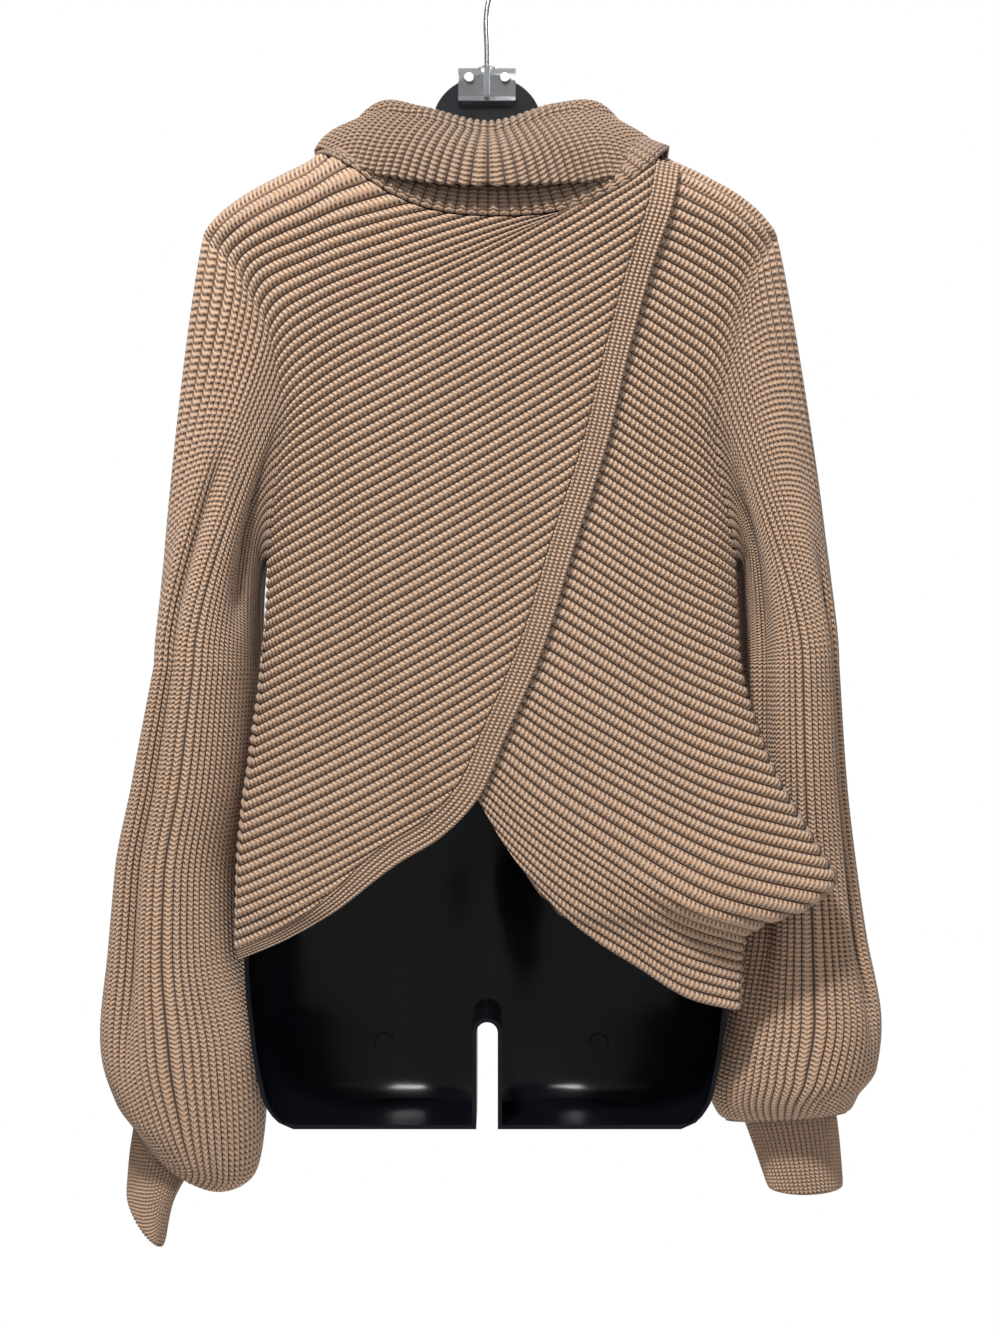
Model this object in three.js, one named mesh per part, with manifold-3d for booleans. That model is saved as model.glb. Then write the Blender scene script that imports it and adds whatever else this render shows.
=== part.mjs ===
// A knitted wrap sweater on a hanging, hollow-backed torso form. Millimetres, +Z up, -Y is the wrap side.
// The origin is the inside top of the form's hook, where a rail carries it.
// Each ribbed piece is a wall: a fine outer skin whose points rise on every rib, over a plain, coarser skin.
import * as THREE from 'three';
import { mergeVertices } from 'three/addons/utils/BufferGeometryUtils.js';
import Module from 'manifold-3d';

// Driving dimensions of the cloth
const WALL = 2.6;                // knit without its ribs
const RIB_RISE = 1.2;            // height of a rib over the wall
const SEAM_GAP = 1.2;            // clear space between pieces at a seam
const LAYER = WALL + RIB_RISE + 2.7; // how far the over wrap lies outside the under wrap
const BODY_RIBS = 28;            // raised ribs on a body panel, from shoulder to hem
const ARM_RIBS = 13;             // of those, the ribs that run on into the sleeve
const ARM_SHARE = ARM_RIBS / BODY_RIBS;
const COLLAR_RIBS = 36;          // raised ribs round the collar
const COLUMNS = 12;              // grid columns of a wrap panel, along its ribs
const FAR_COLUMNS = 14;          // the same for the plain side
const BAND_WIDTH = 17;           // the fashioned band on the wrap's edge
const BAND_END_WIDTH = 8;        // the same band at the left hem corner
const BAND_GAP = 1.9;            // clear space between the band and its panel
const SECTION_POWER = 2.4;       // superellipse power of the body's sections
const SLEEVE_POWER = 2.6;        // the same for the sleeves' rings
const ARCH = 12;                 // how far the ribs arch up next to the armhole
const CUFF_TUCK = 3.8;           // how much smaller the cuff is than the sleeve's end
const CUFF_GAP = 0.45;           // how far it starts below that end

// Driving dimensions of the form and what it hangs by
const FORM_WALL = 3;
const FORM_RIM_Y = 3;            // the flat plane of the hollow back
const NECK_PLATE = { top: -107, halfWidth: 38, centreZ: -140, bottom: -150 };
const SLOT_HALF_WIDTH = 7.5;
const SLOT_TOP = -771;
const WIRE_R = 1.8;
const HOOK_R = 20;
const BORE_R = 2.2;
const CLAMP = { halfWidth: 20, top: -105, bottom: -124.5, front: -7, back: 13, bossR: 6 };
const SCREW = { x: 12.5, z: -111.5, radius: 3.2, height: 1.6 };

// Horizontal sections of the body, from the neck down. seam*: the side seams; near: the middle of the wrap
// side; side*: where the far side starts to curve round the form; far: the middle of the far side.
const BODY = table(['z', 'seamL', 'seamR', 'seamY', 'nearY', 'sideL', 'sideR', 'sideY', 'farY'], [
  [-150, -100, 106, 18, -34, -100, 106, 18, 70],
  [-166, -121, 127, 18, -40, -121, 127, 18, 80],
  [-180, -150, 157, 18, -43, -150, 157, 18, 88],
  [-195, -177, 183, 18, -45, -177, 183, 18, 95],
  [-208, -193, 197, 18, -45, -193, 197, 18, 100],
  [-219, -200, 204, 18, -44, -200, 204, 18, 104],
  [-258, -202, 206, 18, -39, -202, 206, 18, 114],
  [-297, -196, 202, 18, -35, -196, 202, 18, 120],
  [-338, -186, 192, 18, -32, -186, 192, 18, 122],
  [-373, -175, 183, 17, -30, -175, 183, 17, 120],
  [-420, -160, 177, 14, -29, -160, 177, 14, 117],
  [-446, -154, 175, 11, -29, -154, 175, 11, 115],
  [-510, -156, 177, 4, -29, -158, 177, 5, 112],
  [-580, -162, 194, -6, -30, -166, 178, 2, 110],
  [-614, -167, 210, -12, -32, -171, 178, 1, 111],
  [-650, -170, 231, -17, -34, -174, 178, 0, 114],
  [-668, -171, 240, -20, -36, -175, 178, 0, 116],
  [-686, -172, 222, -20, -35, -175, 178, 0, 117],
  [-700, -172.5, 188, -18, -30, -175, 178, 0, 117],
  [-710, -173, 178, -16, -28, -175, 178, 0, 117],
  [-765, -173, 175, -14, -27, -175, 177, 0, 116],
]);

// How far each armhole's edge lies inside the side seam line
const ARMHOLE = table(['z', 'left', 'right'], [
  [-219, 0, 0], [-258, 35, 22], [-297, 48, 30], [-338, 45, 31], [-373, 31, 23], [-420, 10, 8], [-446, 0, 0],
]);

// Height of the side seam line where each row of knitting leaves the body
const LEFT_ENDS = table(['v', 'z'], [[0, -219], [ARM_SHARE, -446], [1, -717.4]]);
const RIGHT_ENDS = table(['v', 'z'], [
  [0, -219], [ARM_SHARE, -446], [0.795, -664], [0.83, -684], [0.86, -698], [0.895, -710], [1, -759],
]);
// Where each row ends at the wrap: down to CORNER_ROW along the neckline, and then down the wrap's edge
const CORNER_ROW = 0.21;
const NECK_ROWS = table(['v', 'f'], [[0, 0], [0.071, 0.31], [0.122, 0.49], [0.172, 0.75], [CORNER_ROW, 1]]);
const OVER_ROWS = table(['v', 'z'], [
  [CORNER_ROW, -179], [0.274, -212], [0.383, -270], [ARM_SHARE, -305], [0.564, -373], [0.666, -442],
  [0.795, -510], [0.865, -544], [0.916, -585], [0.945, -625], [0.965, -655], [1, -705],
]);
const UNDER_ROWS = table(['v', 'z'], [
  [CORNER_ROW, -193], [0.274, -212], [0.383, -270], [ARM_SHARE, -305], [0.564, -373], [0.666, -442],
  [0.795, -510], [0.85, -544], [0.89, -580], [0.92, -625], [0.96, -690], [1, -738],
]);

// Lines on the wrap side, as (x, z)
const OVER_EDGE = line([
  [130.5, -182], [124.4, -211.6], [116.2, -235.6], [98.5, -298.3], [80.7, -373.1], [59.5, -440.2],
  [38.4, -509.4], [11.5, -573.1], [-6, -612], [-32, -638.8], [-59.4, -655.3], [-107.3, -691.6],
  [-135.2, -707.9], [-173, -724.6],
]);
const UNDER_EDGE = line([
  [-80, -193], [-82, -215], [-82, -270], [-77, -330], [-68, -400], [-56, -470], [-43, -520], [-31, -560],
  [-19, -592], [-4.6, -614.9], [12.5, -643.6], [36.5, -674.5], [63.9, -701.8], [105, -729.2],
  [139.5, -750.3], [172, -759],
]);
const NECKLINE = line([
  [-121, -166], [-87.8, -188.2], [-59.2, -206.3], [-24.8, -216.2], [0.3, -218], [22.6, -218],
  [63.5, -211.1], [98.3, -194.2], [127, -166],
]);
const SHOULDER = { tip: -219, neck: -166 }; // heights of the shoulder seam's ends
const NECK_TO_BAND = 0.93;       // share of the neckline that the over wrap's own knitting takes
const NECK_TO_HIDDEN = 0.16;     // share of the neckline that the under wrap leaves bare
// The over wrap rises this far ahead of the under wrap's hidden edge
const LIFT_RAMP = { from: 48, full: 14 };
// Depth of the far neckline, and the share that each shoulder seam takes
const FAR_NECK = { dip: 23, from: 0.2 };
const HEM = { left: -717.4, right: -759, overCorner: -705, underCorner: -738 };

// The wing of loose cloth at the right underarm: it swells out and tucks in under its lower edge
const WING = { row: 0.8, above: 0.08, below: 0.014, from: 0.45, full: 0.8, swell: 13 };

// Rings of each sleeve below the armhole, and of its cuff: centre c, out to the arm's outer side u,
// and towards the wrap side w
const RING = ['s', 'cx', 'cy', 'cz', 'ux', 'uz', 'wx', 'wy', 'wz'];
const LEFT_END = [-236, 52, -866, -21, 7, 16, -34, -15];
const LEFT_SLEEVE = table(RING, [
  [0, -202, 55, -520, -35, 0, 0, -76, 0],
  [0.22, -213, 58, -604, -41, 0, 0, -74, 0],
  [0.4, -224, 60, -670, -43, 0, 0, -73, 0],
  [0.53, -225.5, 59, -722, -46, 0, 0, -72, 0],
  [0.72, -220, 56, -795, -57, 0, 0, -70, 0],
  [0.84, -216, 54, -838, -53, 10, 3, -62, -6],
  [0.92, -214, 52, -864, -45, 20, 7, -50, -10],
  [0.965, -221, 52, -873, -33, 18, 11, -41, -12],
  [1, ...LEFT_END],
]);
const LEFT_CUFF = table(RING, [
  [0, ...LEFT_END],
  [0.5, -245, 52, -894, -14, 4, 16, -35, -12],
  [1, -249, 52, -922, -10, 2, 16, -35, -11],
]);
const RIGHT_END = [219, 58, -842, 37, 3, -4, -30, 8];
const RIGHT_SLEEVE = table(RING, [
  [0, 219, 62, -520, 33, 0, 0, -76, 0],
  [0.24, 222.5, 68, -604, 36.5, 0, 0, -73, 0],
  [0.44, 227, 74, -677, 42, 0, 0, -71, 0],
  [0.55, 228.5, 73, -714, 46, 0, 0, -70, 0],
  [0.7, 229, 68, -766, 55, 0, 0, -70, 0],
  [0.84, 222.5, 62, -810, 59, 0, 0, -66, 0],
  [0.92, 217, 60, -836, 52, 3, -2, -56, 4],
  [0.96, 218, 58, -847, 45, 3, -3, -42, 6],
  [1, ...RIGHT_END],
]);
const RIGHT_CUFF = table(RING, [
  [0, ...RIGHT_END],
  [0.4, 225, 57, -866, 33, 2, -5, -31, 5],
  [1, 232, 56, -900, 27, 0, -6, -33, 2],
]);
// Long soft folds down each sleeve: where round it (0 outer side, 0.25 wrap side), how wide, how deep
const LEFT_FOLDS = table(['t', 'width', 'depth', 'from', 'to'], [
  [0.165, 0.035, 15, 0.35, 1.85], [0.36, 0.04, 9, 0.1, 0.9], [0.78, 0.05, 10, 0.3, 1.7],
]);
const RIGHT_FOLDS = table(['t', 'width', 'depth', 'from', 'to'], [
  [0.115, 0.03, 14, 0.6, 1.85], [0.36, 0.04, 12, 0.2, 1.8], [0.76, 0.05, 10, 0.3, 1.7],
]);
const SLEEVE_STATIONS = [0, 0.12, 0.3, 0.52, 0.76, 1, 1.2, 1.38, 1.53, 1.7, 1.84, 1.92, 1.965, 2];
const CUFF_STATIONS = [0, 0.2, 0.45, 0.7, 1];
// How the sleeve leaves the armhole: pushed out over its lower part, and folded up at the side seam
const UNDERARM = {
  width: 0.07, reach: 40, rise: 12, push: 55, pushFrom: 0.35, pushFull: 0.75, gap: 4, farGap: 2.4,
};

// The collar's fold and its free edge, round the neck: angle in degrees, 0 at +X, 270 towards the viewer
const COLLAR = table(['deg', 'foldZ', 'edgeZ'], [
  [0, -141, -160], [20, -142, -170], [45, -146, -180], [90, -150, -192], [135, -146, -180],
  [160, -141, -169], [180, -139, -159], [200, -134, -163], [216, -131, -175], [240, -140, -192],
  [270, -152, -201], [300, -138, -196], [324, -131, -181], [340, -135, -168], [360, -141, -160],
]);
const COLLAR_CENTRE = { x: 1, y: 22 };
const COLLAR_FOLD = { halfX: 88, nearY: 60, farY: 58, radius: 8, power: 2 };
const COLLAR_EDGE = { halfX: 122, nearY: 84, farY: 92, power: 2.5 };
const COLLAR_STATIONS = [0, 0.2, 0.4, 0.45, 0.5, 0.55, 0.6, 0.8, 1];

// Sections of the form: half width and depth behind the flat plane
const FORM = table(['z', 'half', 'depth'], [
  [-128, 34, 10], [-136, 39, 40], [-150, 41, 54], [-165, 50, 58], [-178, 86, 64], [-198, 138, 74],
  [-218, 171.5, 84], [-240, 184.5, 93], [-280, 184.5, 104], [-345, 164.5, 111.5], [-400, 149.5, 107.5],
  [-450, 139.5, 99], [-505, 138, 92], [-560, 147, 92], [-620, 158, 98], [-680, 168, 106],
  [-727, 170.3, 108], [-790, 165, 102], [-830, 157, 96], [-846, 141, 85],
]);
const FORM_SIDES = 14;

// A table with named columns: each column is a smooth function of the first, without overshoot
function table(names, rows) {
  const key = rows.map((row) => row[0]);
  const made = { rows: rows.map((row) => Object.fromEntries(names.map((name, i) => [name, row[i]]))) };
  names.slice(1).forEach((name, i) => { made[name] = monotone(key, rows.map((row) => row[i + 1])); });
  return made;
}

function monotone(keys, values) {
  const falling = keys[0] > keys[keys.length - 1];
  const xs = falling ? [...keys].reverse() : keys;
  const ys = falling ? [...values].reverse() : values;
  const rise = xs.slice(1).map((x, i) => (ys[i + 1] - ys[i]) / (x - xs[i]));
  const slope = xs.map((x, i) => {
    if (i === 0) return rise[0];
    if (i === xs.length - 1) return rise[i - 1];
    return rise[i - 1] * rise[i] <= 0 ? 0 : 2 * rise[i - 1] * rise[i] / (rise[i - 1] + rise[i]);
  });
  return (x) => {
    if (x <= xs[0]) return ys[0];
    if (x >= xs[xs.length - 1]) return ys[ys.length - 1];
    let i = 0;
    while (x > xs[i + 1]) i += 1;
    const width = xs[i + 1] - xs[i];
    const t = (x - xs[i]) / width;
    const up = t * t * (3 - 2 * t);
    return ys[i] * (1 - up) + ys[i + 1] * up
      + width * (slope[i] * t * (1 - t) ** 2 - slope[i + 1] * t * t * (1 - t));
  };
}

// A smooth line through (x, z) points, by share of its length
function line(points) {
  const through = points.map(([x, z]) => new THREE.Vector3(x, 0, z));
  const curve = new THREE.CatmullRomCurve3(through, false, 'centripetal');
  curve.arcLengthDivisions = 400;
  return (f) => {
    const p = curve.getPointAt(Math.min(1, Math.max(0, f)));
    return [p.x, p.z];
  };
}

// Keeps what a costly function of one number gave, to give it again
function remember(make) {
  const kept = new Map();
  return (x) => {
    if (!kept.has(x)) kept.set(x, make(x));
    return kept.get(x);
  };
}

// The share of a line's length at which it comes down to height z
function shareAtZ(path, z) {
  let low = 0;
  let high = 1;
  for (let i = 0; i < 24; i += 1) {
    const mid = (low + high) / 2;
    if (path(mid)[1] > z) low = mid;
    else high = mid;
  }
  return low;
}

const mix = (a, b, t) => a + (b - a) * t;
const clamp01 = (t) => Math.min(1, Math.max(0, t));
const ease = (t) => clamp01(t) ** 2 * (3 - 2 * clamp01(t));
const bell = (t, middle, width) => Math.exp(-(((t - middle) / width) ** 2));
const vec = (x, y, z) => new THREE.Vector3(x, y, z);
const bowed = (s) => (1 - Math.min(1, Math.abs(s) ** SECTION_POWER)) ** (1 / SECTION_POWER);

// The body as two half sections. c runs from -1 at the left seam to 1 at the right seam.
function nearPoint(c, z) {
  const s = Math.sin(c * Math.PI / 2);
  const seamY = BODY.seamY(z);
  const y = seamY - SEAM_GAP / 2 + (BODY.nearY(z) - seamY) * bowed(s);
  return vec(mix(BODY.seamL(z), BODY.seamR(z), (1 + s) / 2), y, z);
}

// The share of the far section that curves round the form; the rest runs out flat to the seam
function sideShare(z, sign) {
  const side = sign < 0 ? BODY.sideL(z) : BODY.sideR(z);
  const seam = sign < 0 ? BODY.seamL(z) : BODY.seamR(z);
  return 1 - Math.min(0.3, Math.hypot(side - seam, BODY.sideY(z) - BODY.seamY(z)) / 300);
}

function farPoint(c, z) {
  const sign = c < 0 ? -1 : 1;
  const share = sideShare(z, sign);
  const s = Math.sin(Math.min(1, Math.abs(c) / share) * Math.PI / 2) * sign;
  const sideY = BODY.sideY(z) + SEAM_GAP / 2;
  const x = mix(BODY.sideL(z), BODY.sideR(z), (1 + s) / 2);
  if (Math.abs(c) <= share) return vec(x, sideY + (BODY.farY(z) - BODY.sideY(z)) * bowed(s), z);
  const t = (Math.abs(c) - share) / (1 - share);
  const seam = sign < 0 ? BODY.seamL(z) : BODY.seamR(z);
  return vec(mix(x, seam, t), mix(sideY, BODY.seamY(z) + SEAM_GAP / 2, t), z);
}

// The c at which the near or far section has a given x
function nearC(x, z) {
  const s = 2 * (x - BODY.seamL(z)) / (BODY.seamR(z) - BODY.seamL(z)) - 1;
  return Math.asin(Math.max(-1, Math.min(1, s))) * 2 / Math.PI;
}

function farC(x, z) {
  const s = 2 * (x - BODY.sideL(z)) / (BODY.sideR(z) - BODY.sideL(z)) - 1;
  return Math.asin(Math.max(-1, Math.min(1, s))) * 2 / Math.PI * sideShare(z, x < 0 ? -1 : 1);
}

// Where the body's edge lies at height z on a side, round the armhole and down the side seam
function edgeC(z, sign, toC) {
  const inset = sign < 0 ? ARMHOLE.left(z) : ARMHOLE.right(z);
  if (inset <= 0) return sign;
  return toC(sign < 0 ? BODY.seamL(z) + inset : BODY.seamR(z) - inset, z);
}

// A panel's grid in (c, z), filled in from its four edges
function coons(...edges) {
  const [top, bottom, left, right] = edges.map(remember);
  const [a, b, d, e] = [top(0), top(1), bottom(0), bottom(1)];
  return (u, v) => {
    const [t, s, l, r] = [top(u), bottom(u), left(v), right(v)];
    return [0, 1].map((k) => (1 - v) * t[k] + v * s[k] + (1 - u) * l[k] + u * r[k]
      - ((1 - u) * (1 - v) * a[k] + u * (1 - v) * b[k] + (1 - u) * v * d[k] + u * v * e[k]));
  };
}

// How much the ribs arch up at a share `inward` of their length from the armhole
function arch(inward, v) {
  const rows = ease(v / 0.1) * ease((0.55 - v) / 0.35);
  return ARCH * rows * (1 - Math.exp(-inward / 0.07)) * (1 - inward) ** 2;
}

// The edge of the over wrap's own knitting, inside its band
function bandInner(f) {
  const [x, z] = OVER_EDGE(f);
  const [xa, za] = OVER_EDGE(Math.max(0, f - 0.01));
  const [xb, zb] = OVER_EDGE(Math.min(1, f + 0.01));
  const length = Math.hypot(xb - xa, zb - za);
  const width = mix(BAND_WIDTH, BAND_END_WIDTH, ease((f - 0.75) / 0.25));
  return [x + (zb - za) / length * width, z - (xb - xa) / length * width];
}

// A point of the wrap side by (x, z). The neck points lie exactly on the shoulder seams.
function toNear([x, z]) {
  return z > SHOULDER.neck - 1 && Math.abs(x) > 100 ? [Math.sign(x), SHOULDER.neck] : [nearC(x, z), z];
}

const overCorner = shareAtZ(bandInner, HEM.overCorner);
const underCorner = shareAtZ(UNDER_EDGE, HEM.underCorner);

const overGrid = (() => {
  const bandTop = bandInner(0);
  const neck = (f) => {
    const [x, z] = NECKLINE(f * NECK_TO_BAND);
    const pull = ease((f - 0.8) / 0.2);
    return toNear([mix(x, bandTop[0], pull), mix(z, bandTop[1], pull)]);
  };
  const top = (u) => [-1, mix(SHOULDER.tip, SHOULDER.neck, u)];
  const bottom = (u) => toNear(bandInner(mix(1, overCorner, u)));
  const left = (v) => (v >= 1 ? bottom(0) : [edgeC(LEFT_ENDS.z(v), -1, nearC), LEFT_ENDS.z(v)]);
  const right = (v) => {
    if (v <= CORNER_ROW) return neck(NECK_ROWS.f(v));
    return toNear(bandInner(v >= 1 ? overCorner : shareAtZ(bandInner, OVER_ROWS.z(v))));
  };
  return coons(top, bottom, left, right);
})();

const underGrid = (() => {
  const top = (u) => [1, mix(SHOULDER.neck, SHOULDER.tip, u)];
  const bottom = (u) => (u >= 1 ? [1, HEM.right] : toNear(UNDER_EDGE(mix(underCorner, 1, u))));
  const left = (v) => {
    if (v <= CORNER_ROW) return toNear(NECKLINE(mix(1, NECK_TO_HIDDEN, NECK_ROWS.f(v))));
    return toNear(UNDER_EDGE(v >= 1 ? underCorner : shareAtZ(UNDER_EDGE, UNDER_ROWS.z(v))));
  };
  const right = (v) => [edgeC(RIGHT_ENDS.z(v), 1, nearC), RIGHT_ENDS.z(v)];
  return coons(top, bottom, left, right);
})();

const farNeck = (c) => SHOULDER.neck - FAR_NECK.dip * Math.max(0, Math.cos(c * Math.PI / 2)) ** 0.7;
const farGrid = (() => {
  const top = (u) => {
    if (u < FAR_NECK.from) return [-1, mix(SHOULDER.tip, SHOULDER.neck, u / FAR_NECK.from)];
    if (u > 1 - FAR_NECK.from) return [1, mix(SHOULDER.tip, SHOULDER.neck, (1 - u) / FAR_NECK.from)];
    const c = mix(-1, 1, (u - FAR_NECK.from) / (1 - 2 * FAR_NECK.from));
    return [c, farNeck(c)];
  };
  const bottom = (u) => {
    const c = mix(-1, 1, u);
    return [c, mix(HEM.left, HEM.right, (1 + Math.sin(c * Math.PI / 2)) / 2)];
  };
  const left = (v) => [edgeC(LEFT_ENDS.z(v), -1, farC), LEFT_ENDS.z(v)];
  const right = (v) => [edgeC(RIGHT_ENDS.z(v), 1, farC), RIGHT_ENDS.z(v)];
  const filled = coons(top, bottom, left, right);
  // the columns bunch on the shoulder seams, and even out before the rows reach the armholes
  return (u, v) => {
    const share = mix((top(u)[0] + 1) / 2, u, ease(v / 0.12));
    return [mix(left(v)[0], right(v)[0], share), filled(u, v)[1]];
  };
})();

// How far the over wrap stands off: in full over the hidden edge of the under wrap, not at all at its own
// side seam
function overLift(point) {
  const [hidden] = UNDER_EDGE(shareAtZ(UNDER_EDGE, Math.max(point.z, -640)));
  return LAYER * ease((point.x - hidden + LIFT_RAMP.from) / (LIFT_RAMP.from - LIFT_RAMP.full));
}

function overSurface(u, v) {
  const [c, z] = overGrid(u, v);
  return nearPoint(c, z + arch(u, v));
}

function underSurface(u, v) {
  const [c, z] = underGrid(u, v);
  const p = nearPoint(c, z + arch(1 - u, v));
  const fall = v < WING.row ? WING.above : WING.below;
  const swell = WING.swell * bell(v, WING.row, fall) * ease((u - WING.from) / (WING.full - WING.from));
  p.y -= swell * (1 - Math.abs(c) ** 8);
  return p;
}

function farSurface(u, v) {
  return farPoint(...farGrid(u, v));
}

function bandSurface(u, v) {
  const [xo, zo] = OVER_EDGE(v);
  const [xi, zi] = bandInner(v);
  const share = mix(BAND_GAP / Math.hypot(xo - xi, zo - zi), 1, u);
  const z = mix(zi, zo, share);
  return nearPoint(nearC(mix(xi, xo, share), z), z);
}

// The panel's outward normal by small steps; facing is -1 on the wrap side and 1 on the plain side.
// Edges on a side seam keep level normals, so that both sides match.
function panelNormal(surface, facing, u, v) {
  const step = 0.004;
  const du = surface(Math.min(1, u + step), v).sub(surface(Math.max(0, u - step), v));
  const dv = surface(u, Math.min(1, v + step)).sub(surface(u, Math.max(0, v - step)));
  const normal = du.cross(dv).normalize();
  const p = surface(u, v);
  if (normal.dot(vec(p.x, facing * 120, 0)) < 0) normal.negate();
  if (Math.abs(p.y - BODY.seamY(p.z)) < SEAM_GAP) normal.setY(0).normalize();
  return normal;
}

// Points of a panel's two skins
function panelSkins(surface, facing, lift) {
  return (u, v, rise) => {
    const p = surface(u, v);
    const n = panelNormal(surface, facing, u, v);
    const out = lift(p);
    return {
      outer: p.clone().addScaledVector(n, out + rise),
      inner: p.clone().addScaledVector(n, out - WALL),
    };
  };
}

// A solid from an outer grid of fine rows and an inner grid of coarse rows that share their columns.
// skins(i, j) gives a point of both skins; closed says that the rows run round a tube.
function skinSolid({ columns, fineRows, coarseRows, closed, skins }) {
  const positions = [];
  const index = [];
  const add = (p) => positions.push(p.x, p.y, p.z) / 3 - 1;
  const fineCount = closed ? fineRows : fineRows + 1;
  const coarseCount = closed ? coarseRows : coarseRows + 1;
  const ratio = fineRows / coarseRows;
  const row = (j, skin) => Array.from({ length: columns + 1 }, (_, i) => add(skins(i, j)[skin]));
  const outer = Array.from({ length: fineCount }, (_, j) => row(j, 'outer'));
  const inner = Array.from({ length: coarseCount }, (_, k) => row(k * ratio, 'inner'));
  const quad = (a, b, c, d) => index.push(a, b, c, a, c, d);
  for (let j = 0; j < fineRows; j += 1) {
    const [here, next] = [outer[j], outer[(j + 1) % fineCount]];
    for (let i = 0; i < columns; i += 1) quad(here[i], here[i + 1], next[i + 1], next[i]);
  }
  for (let k = 0; k < coarseRows; k += 1) {
    const [here, next] = [inner[k], inner[(k + 1) % coarseCount]];
    for (let i = 0; i < columns; i += 1) quad(here[i + 1], here[i], next[i], next[i + 1]);
    // the two end edges, where one coarse step meets several fine ones
    for (let m = 0; m < ratio; m += 1) {
      const from = outer[k * ratio + m];
      const to = outer[(k * ratio + m + 1) % fineCount];
      const pivot = m < ratio / 2 ? here : next;
      index.push(to[0], pivot[0], from[0]);
      index.push(from[columns], pivot[columns], to[columns]);
    }
    const middle = outer[(k * ratio + Math.ceil(ratio / 2)) % fineCount];
    index.push(here[0], middle[0], next[0]);
    index.push(next[columns], middle[columns], here[columns]);
  }
  if (!closed) {
    for (let i = 0; i < columns; i += 1) {
      quad(inner[0][i], inner[0][i + 1], outer[0][i + 1], outer[0][i]);
      quad(outer[fineRows][i], outer[fineRows][i + 1], inner[coarseRows][i + 1], inner[coarseRows][i]);
    }
  }
  return facingOut(positions, index);
}

// Turns every face over if the solid came out inside out
function facingOut(positions, index) {
  let volume = 0;
  for (let f = 0; f < index.length; f += 3) {
    const [a, b, c] = [0, 1, 2].map((k) => vec(...positions.slice(index[f + k] * 3, index[f + k] * 3 + 3)));
    volume += a.dot(b.cross(c));
  }
  if (volume < 0) {
    for (let f = 0; f < index.length; f += 3) [index[f], index[f + 1]] = [index[f + 1], index[f]];
  }
  const geometry = new THREE.BufferGeometry();
  geometry.setAttribute('position', new THREE.Float32BufferAttribute(positions, 3));
  geometry.setIndex(index);
  return geometry;
}

function ribbedPanel(surface, facing, columns, lift = () => 0) {
  const point = panelSkins(surface, facing, lift);
  const rows = 2 * BODY_RIBS;
  return skinSolid({
    columns,
    fineRows: rows,
    coarseRows: BODY_RIBS,
    closed: false,
    skins: (i, j) => point(i / columns, j / rows, j % 2 ? RIB_RISE : 0),
  });
}

// The band has a row at each point of the over wrap's edge, so that the two run side by side
function band() {
  const shares = [0];
  for (let j = 1; j < 2 * BODY_RIBS; j += 1) {
    const v = j / (2 * BODY_RIBS);
    if (v > CORNER_ROW) shares.push(shareAtZ(bandInner, OVER_ROWS.z(v)));
  }
  for (let i = COLUMNS; i >= 0; i -= 1) shares.push(mix(1, overCorner, i / COLUMNS));
  const rows = shares.length - 1;
  const point = panelSkins(bandSurface, -1, overLift);
  return skinSolid({
    columns: 1, fineRows: rows, coarseRows: rows, closed: false, skins: (i, j) => point(i, shares[j], 0),
  });
}

// A ring of a sleeve or cuff at share s of its length, and share t round it
function ringPoint(rings, s, t, power) {
  const at = (name) => rings[name](s);
  const round = (x) => Math.sign(x) * Math.abs(x) ** (2 / power);
  const [c, w] = [round(Math.cos(t * 2 * Math.PI)), round(Math.sin(t * 2 * Math.PI))];
  return vec(at('cx'), at('cy'), at('cz')).add(vec(at('ux'), 0, at('uz')).multiplyScalar(c))
    .add(vec(at('wx'), at('wy'), at('wz')).multiplyScalar(w));
}

// The sleeve's rings are squared off a little, and turn into the cuff's plain ovals at the wrist
const sleeveRing = (rings, s, t) => ringPoint(rings, s, t, mix(SLEEVE_POWER, 2, ease((s - 0.7) / 0.3)));
const cuffRing = (rings, s, t) => ringPoint(rings, s, t, 2);

// The armhole at share t round it: its point, the panel's normal there, and the way the ribs run on
function armhole(sign) {
  const near = sign < 0 ? (e, v) => overSurface(e, v) : (e, v) => underSurface(1 - e, v);
  const far = sign < 0 ? (e, v) => farSurface(e, v) : (e, v) => farSurface(1 - e, v);
  const rowAt = (t) => ARM_SHARE * (t <= 0.5 ? t * 2 : 2 - t * 2);
  const point = (t) => {
    const turn = t - Math.floor(t);
    return (turn <= 0.5 ? near : far)(0, rowAt(turn));
  };
  return remember((t) => {
    const turn = t - Math.floor(t);
    const [side, facing] = turn <= 0.5 ? [near, -1] : [far, 1];
    const v = rowAt(turn);
    const p = point(turn);
    const along = point(t + 0.01).sub(point(t - 0.01)).normalize();
    if (along.z > 0) along.negate();
    const rib = p.clone().sub(side(0.02, v)).normalize();
    const normal = panelNormal(side, facing, 0, v);
    const onSeam = Math.abs(p.y - BODY.seamY(p.z)) < SEAM_GAP;
    if (onSeam) p.y = BODY.seamY(p.z);
    const out = rib.clone().addScaledVector(along, -rib.dot(along)).normalize();
    if (onSeam) out.set(sign, 0, -0.7).normalize();
    out.lerp(vec(sign * 0.93, 0, 0.37), ease((lowness(turn) - 0.75) / 0.15)).normalize();
    const gap = facing > 0 ? UNDERARM.farGap : UNDERARM.gap;
    p.addScaledVector(out, mix(SEAM_GAP, gap, ease(Math.sin(turn * Math.PI) * 2)));
    // the ribs turn down the arm; over the shoulder's tip they turn at once
    const shoulder = bell(turn, turn > 0.5 ? 1 : 0, 0.045);
    const way = rib.addScaledVector(along, 0.9).normalize();
    way.lerp(vec(sign * 0.25, 0, -0.97), shoulder).normalize();
    return { p, normal, way, out };
  });
}

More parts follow.
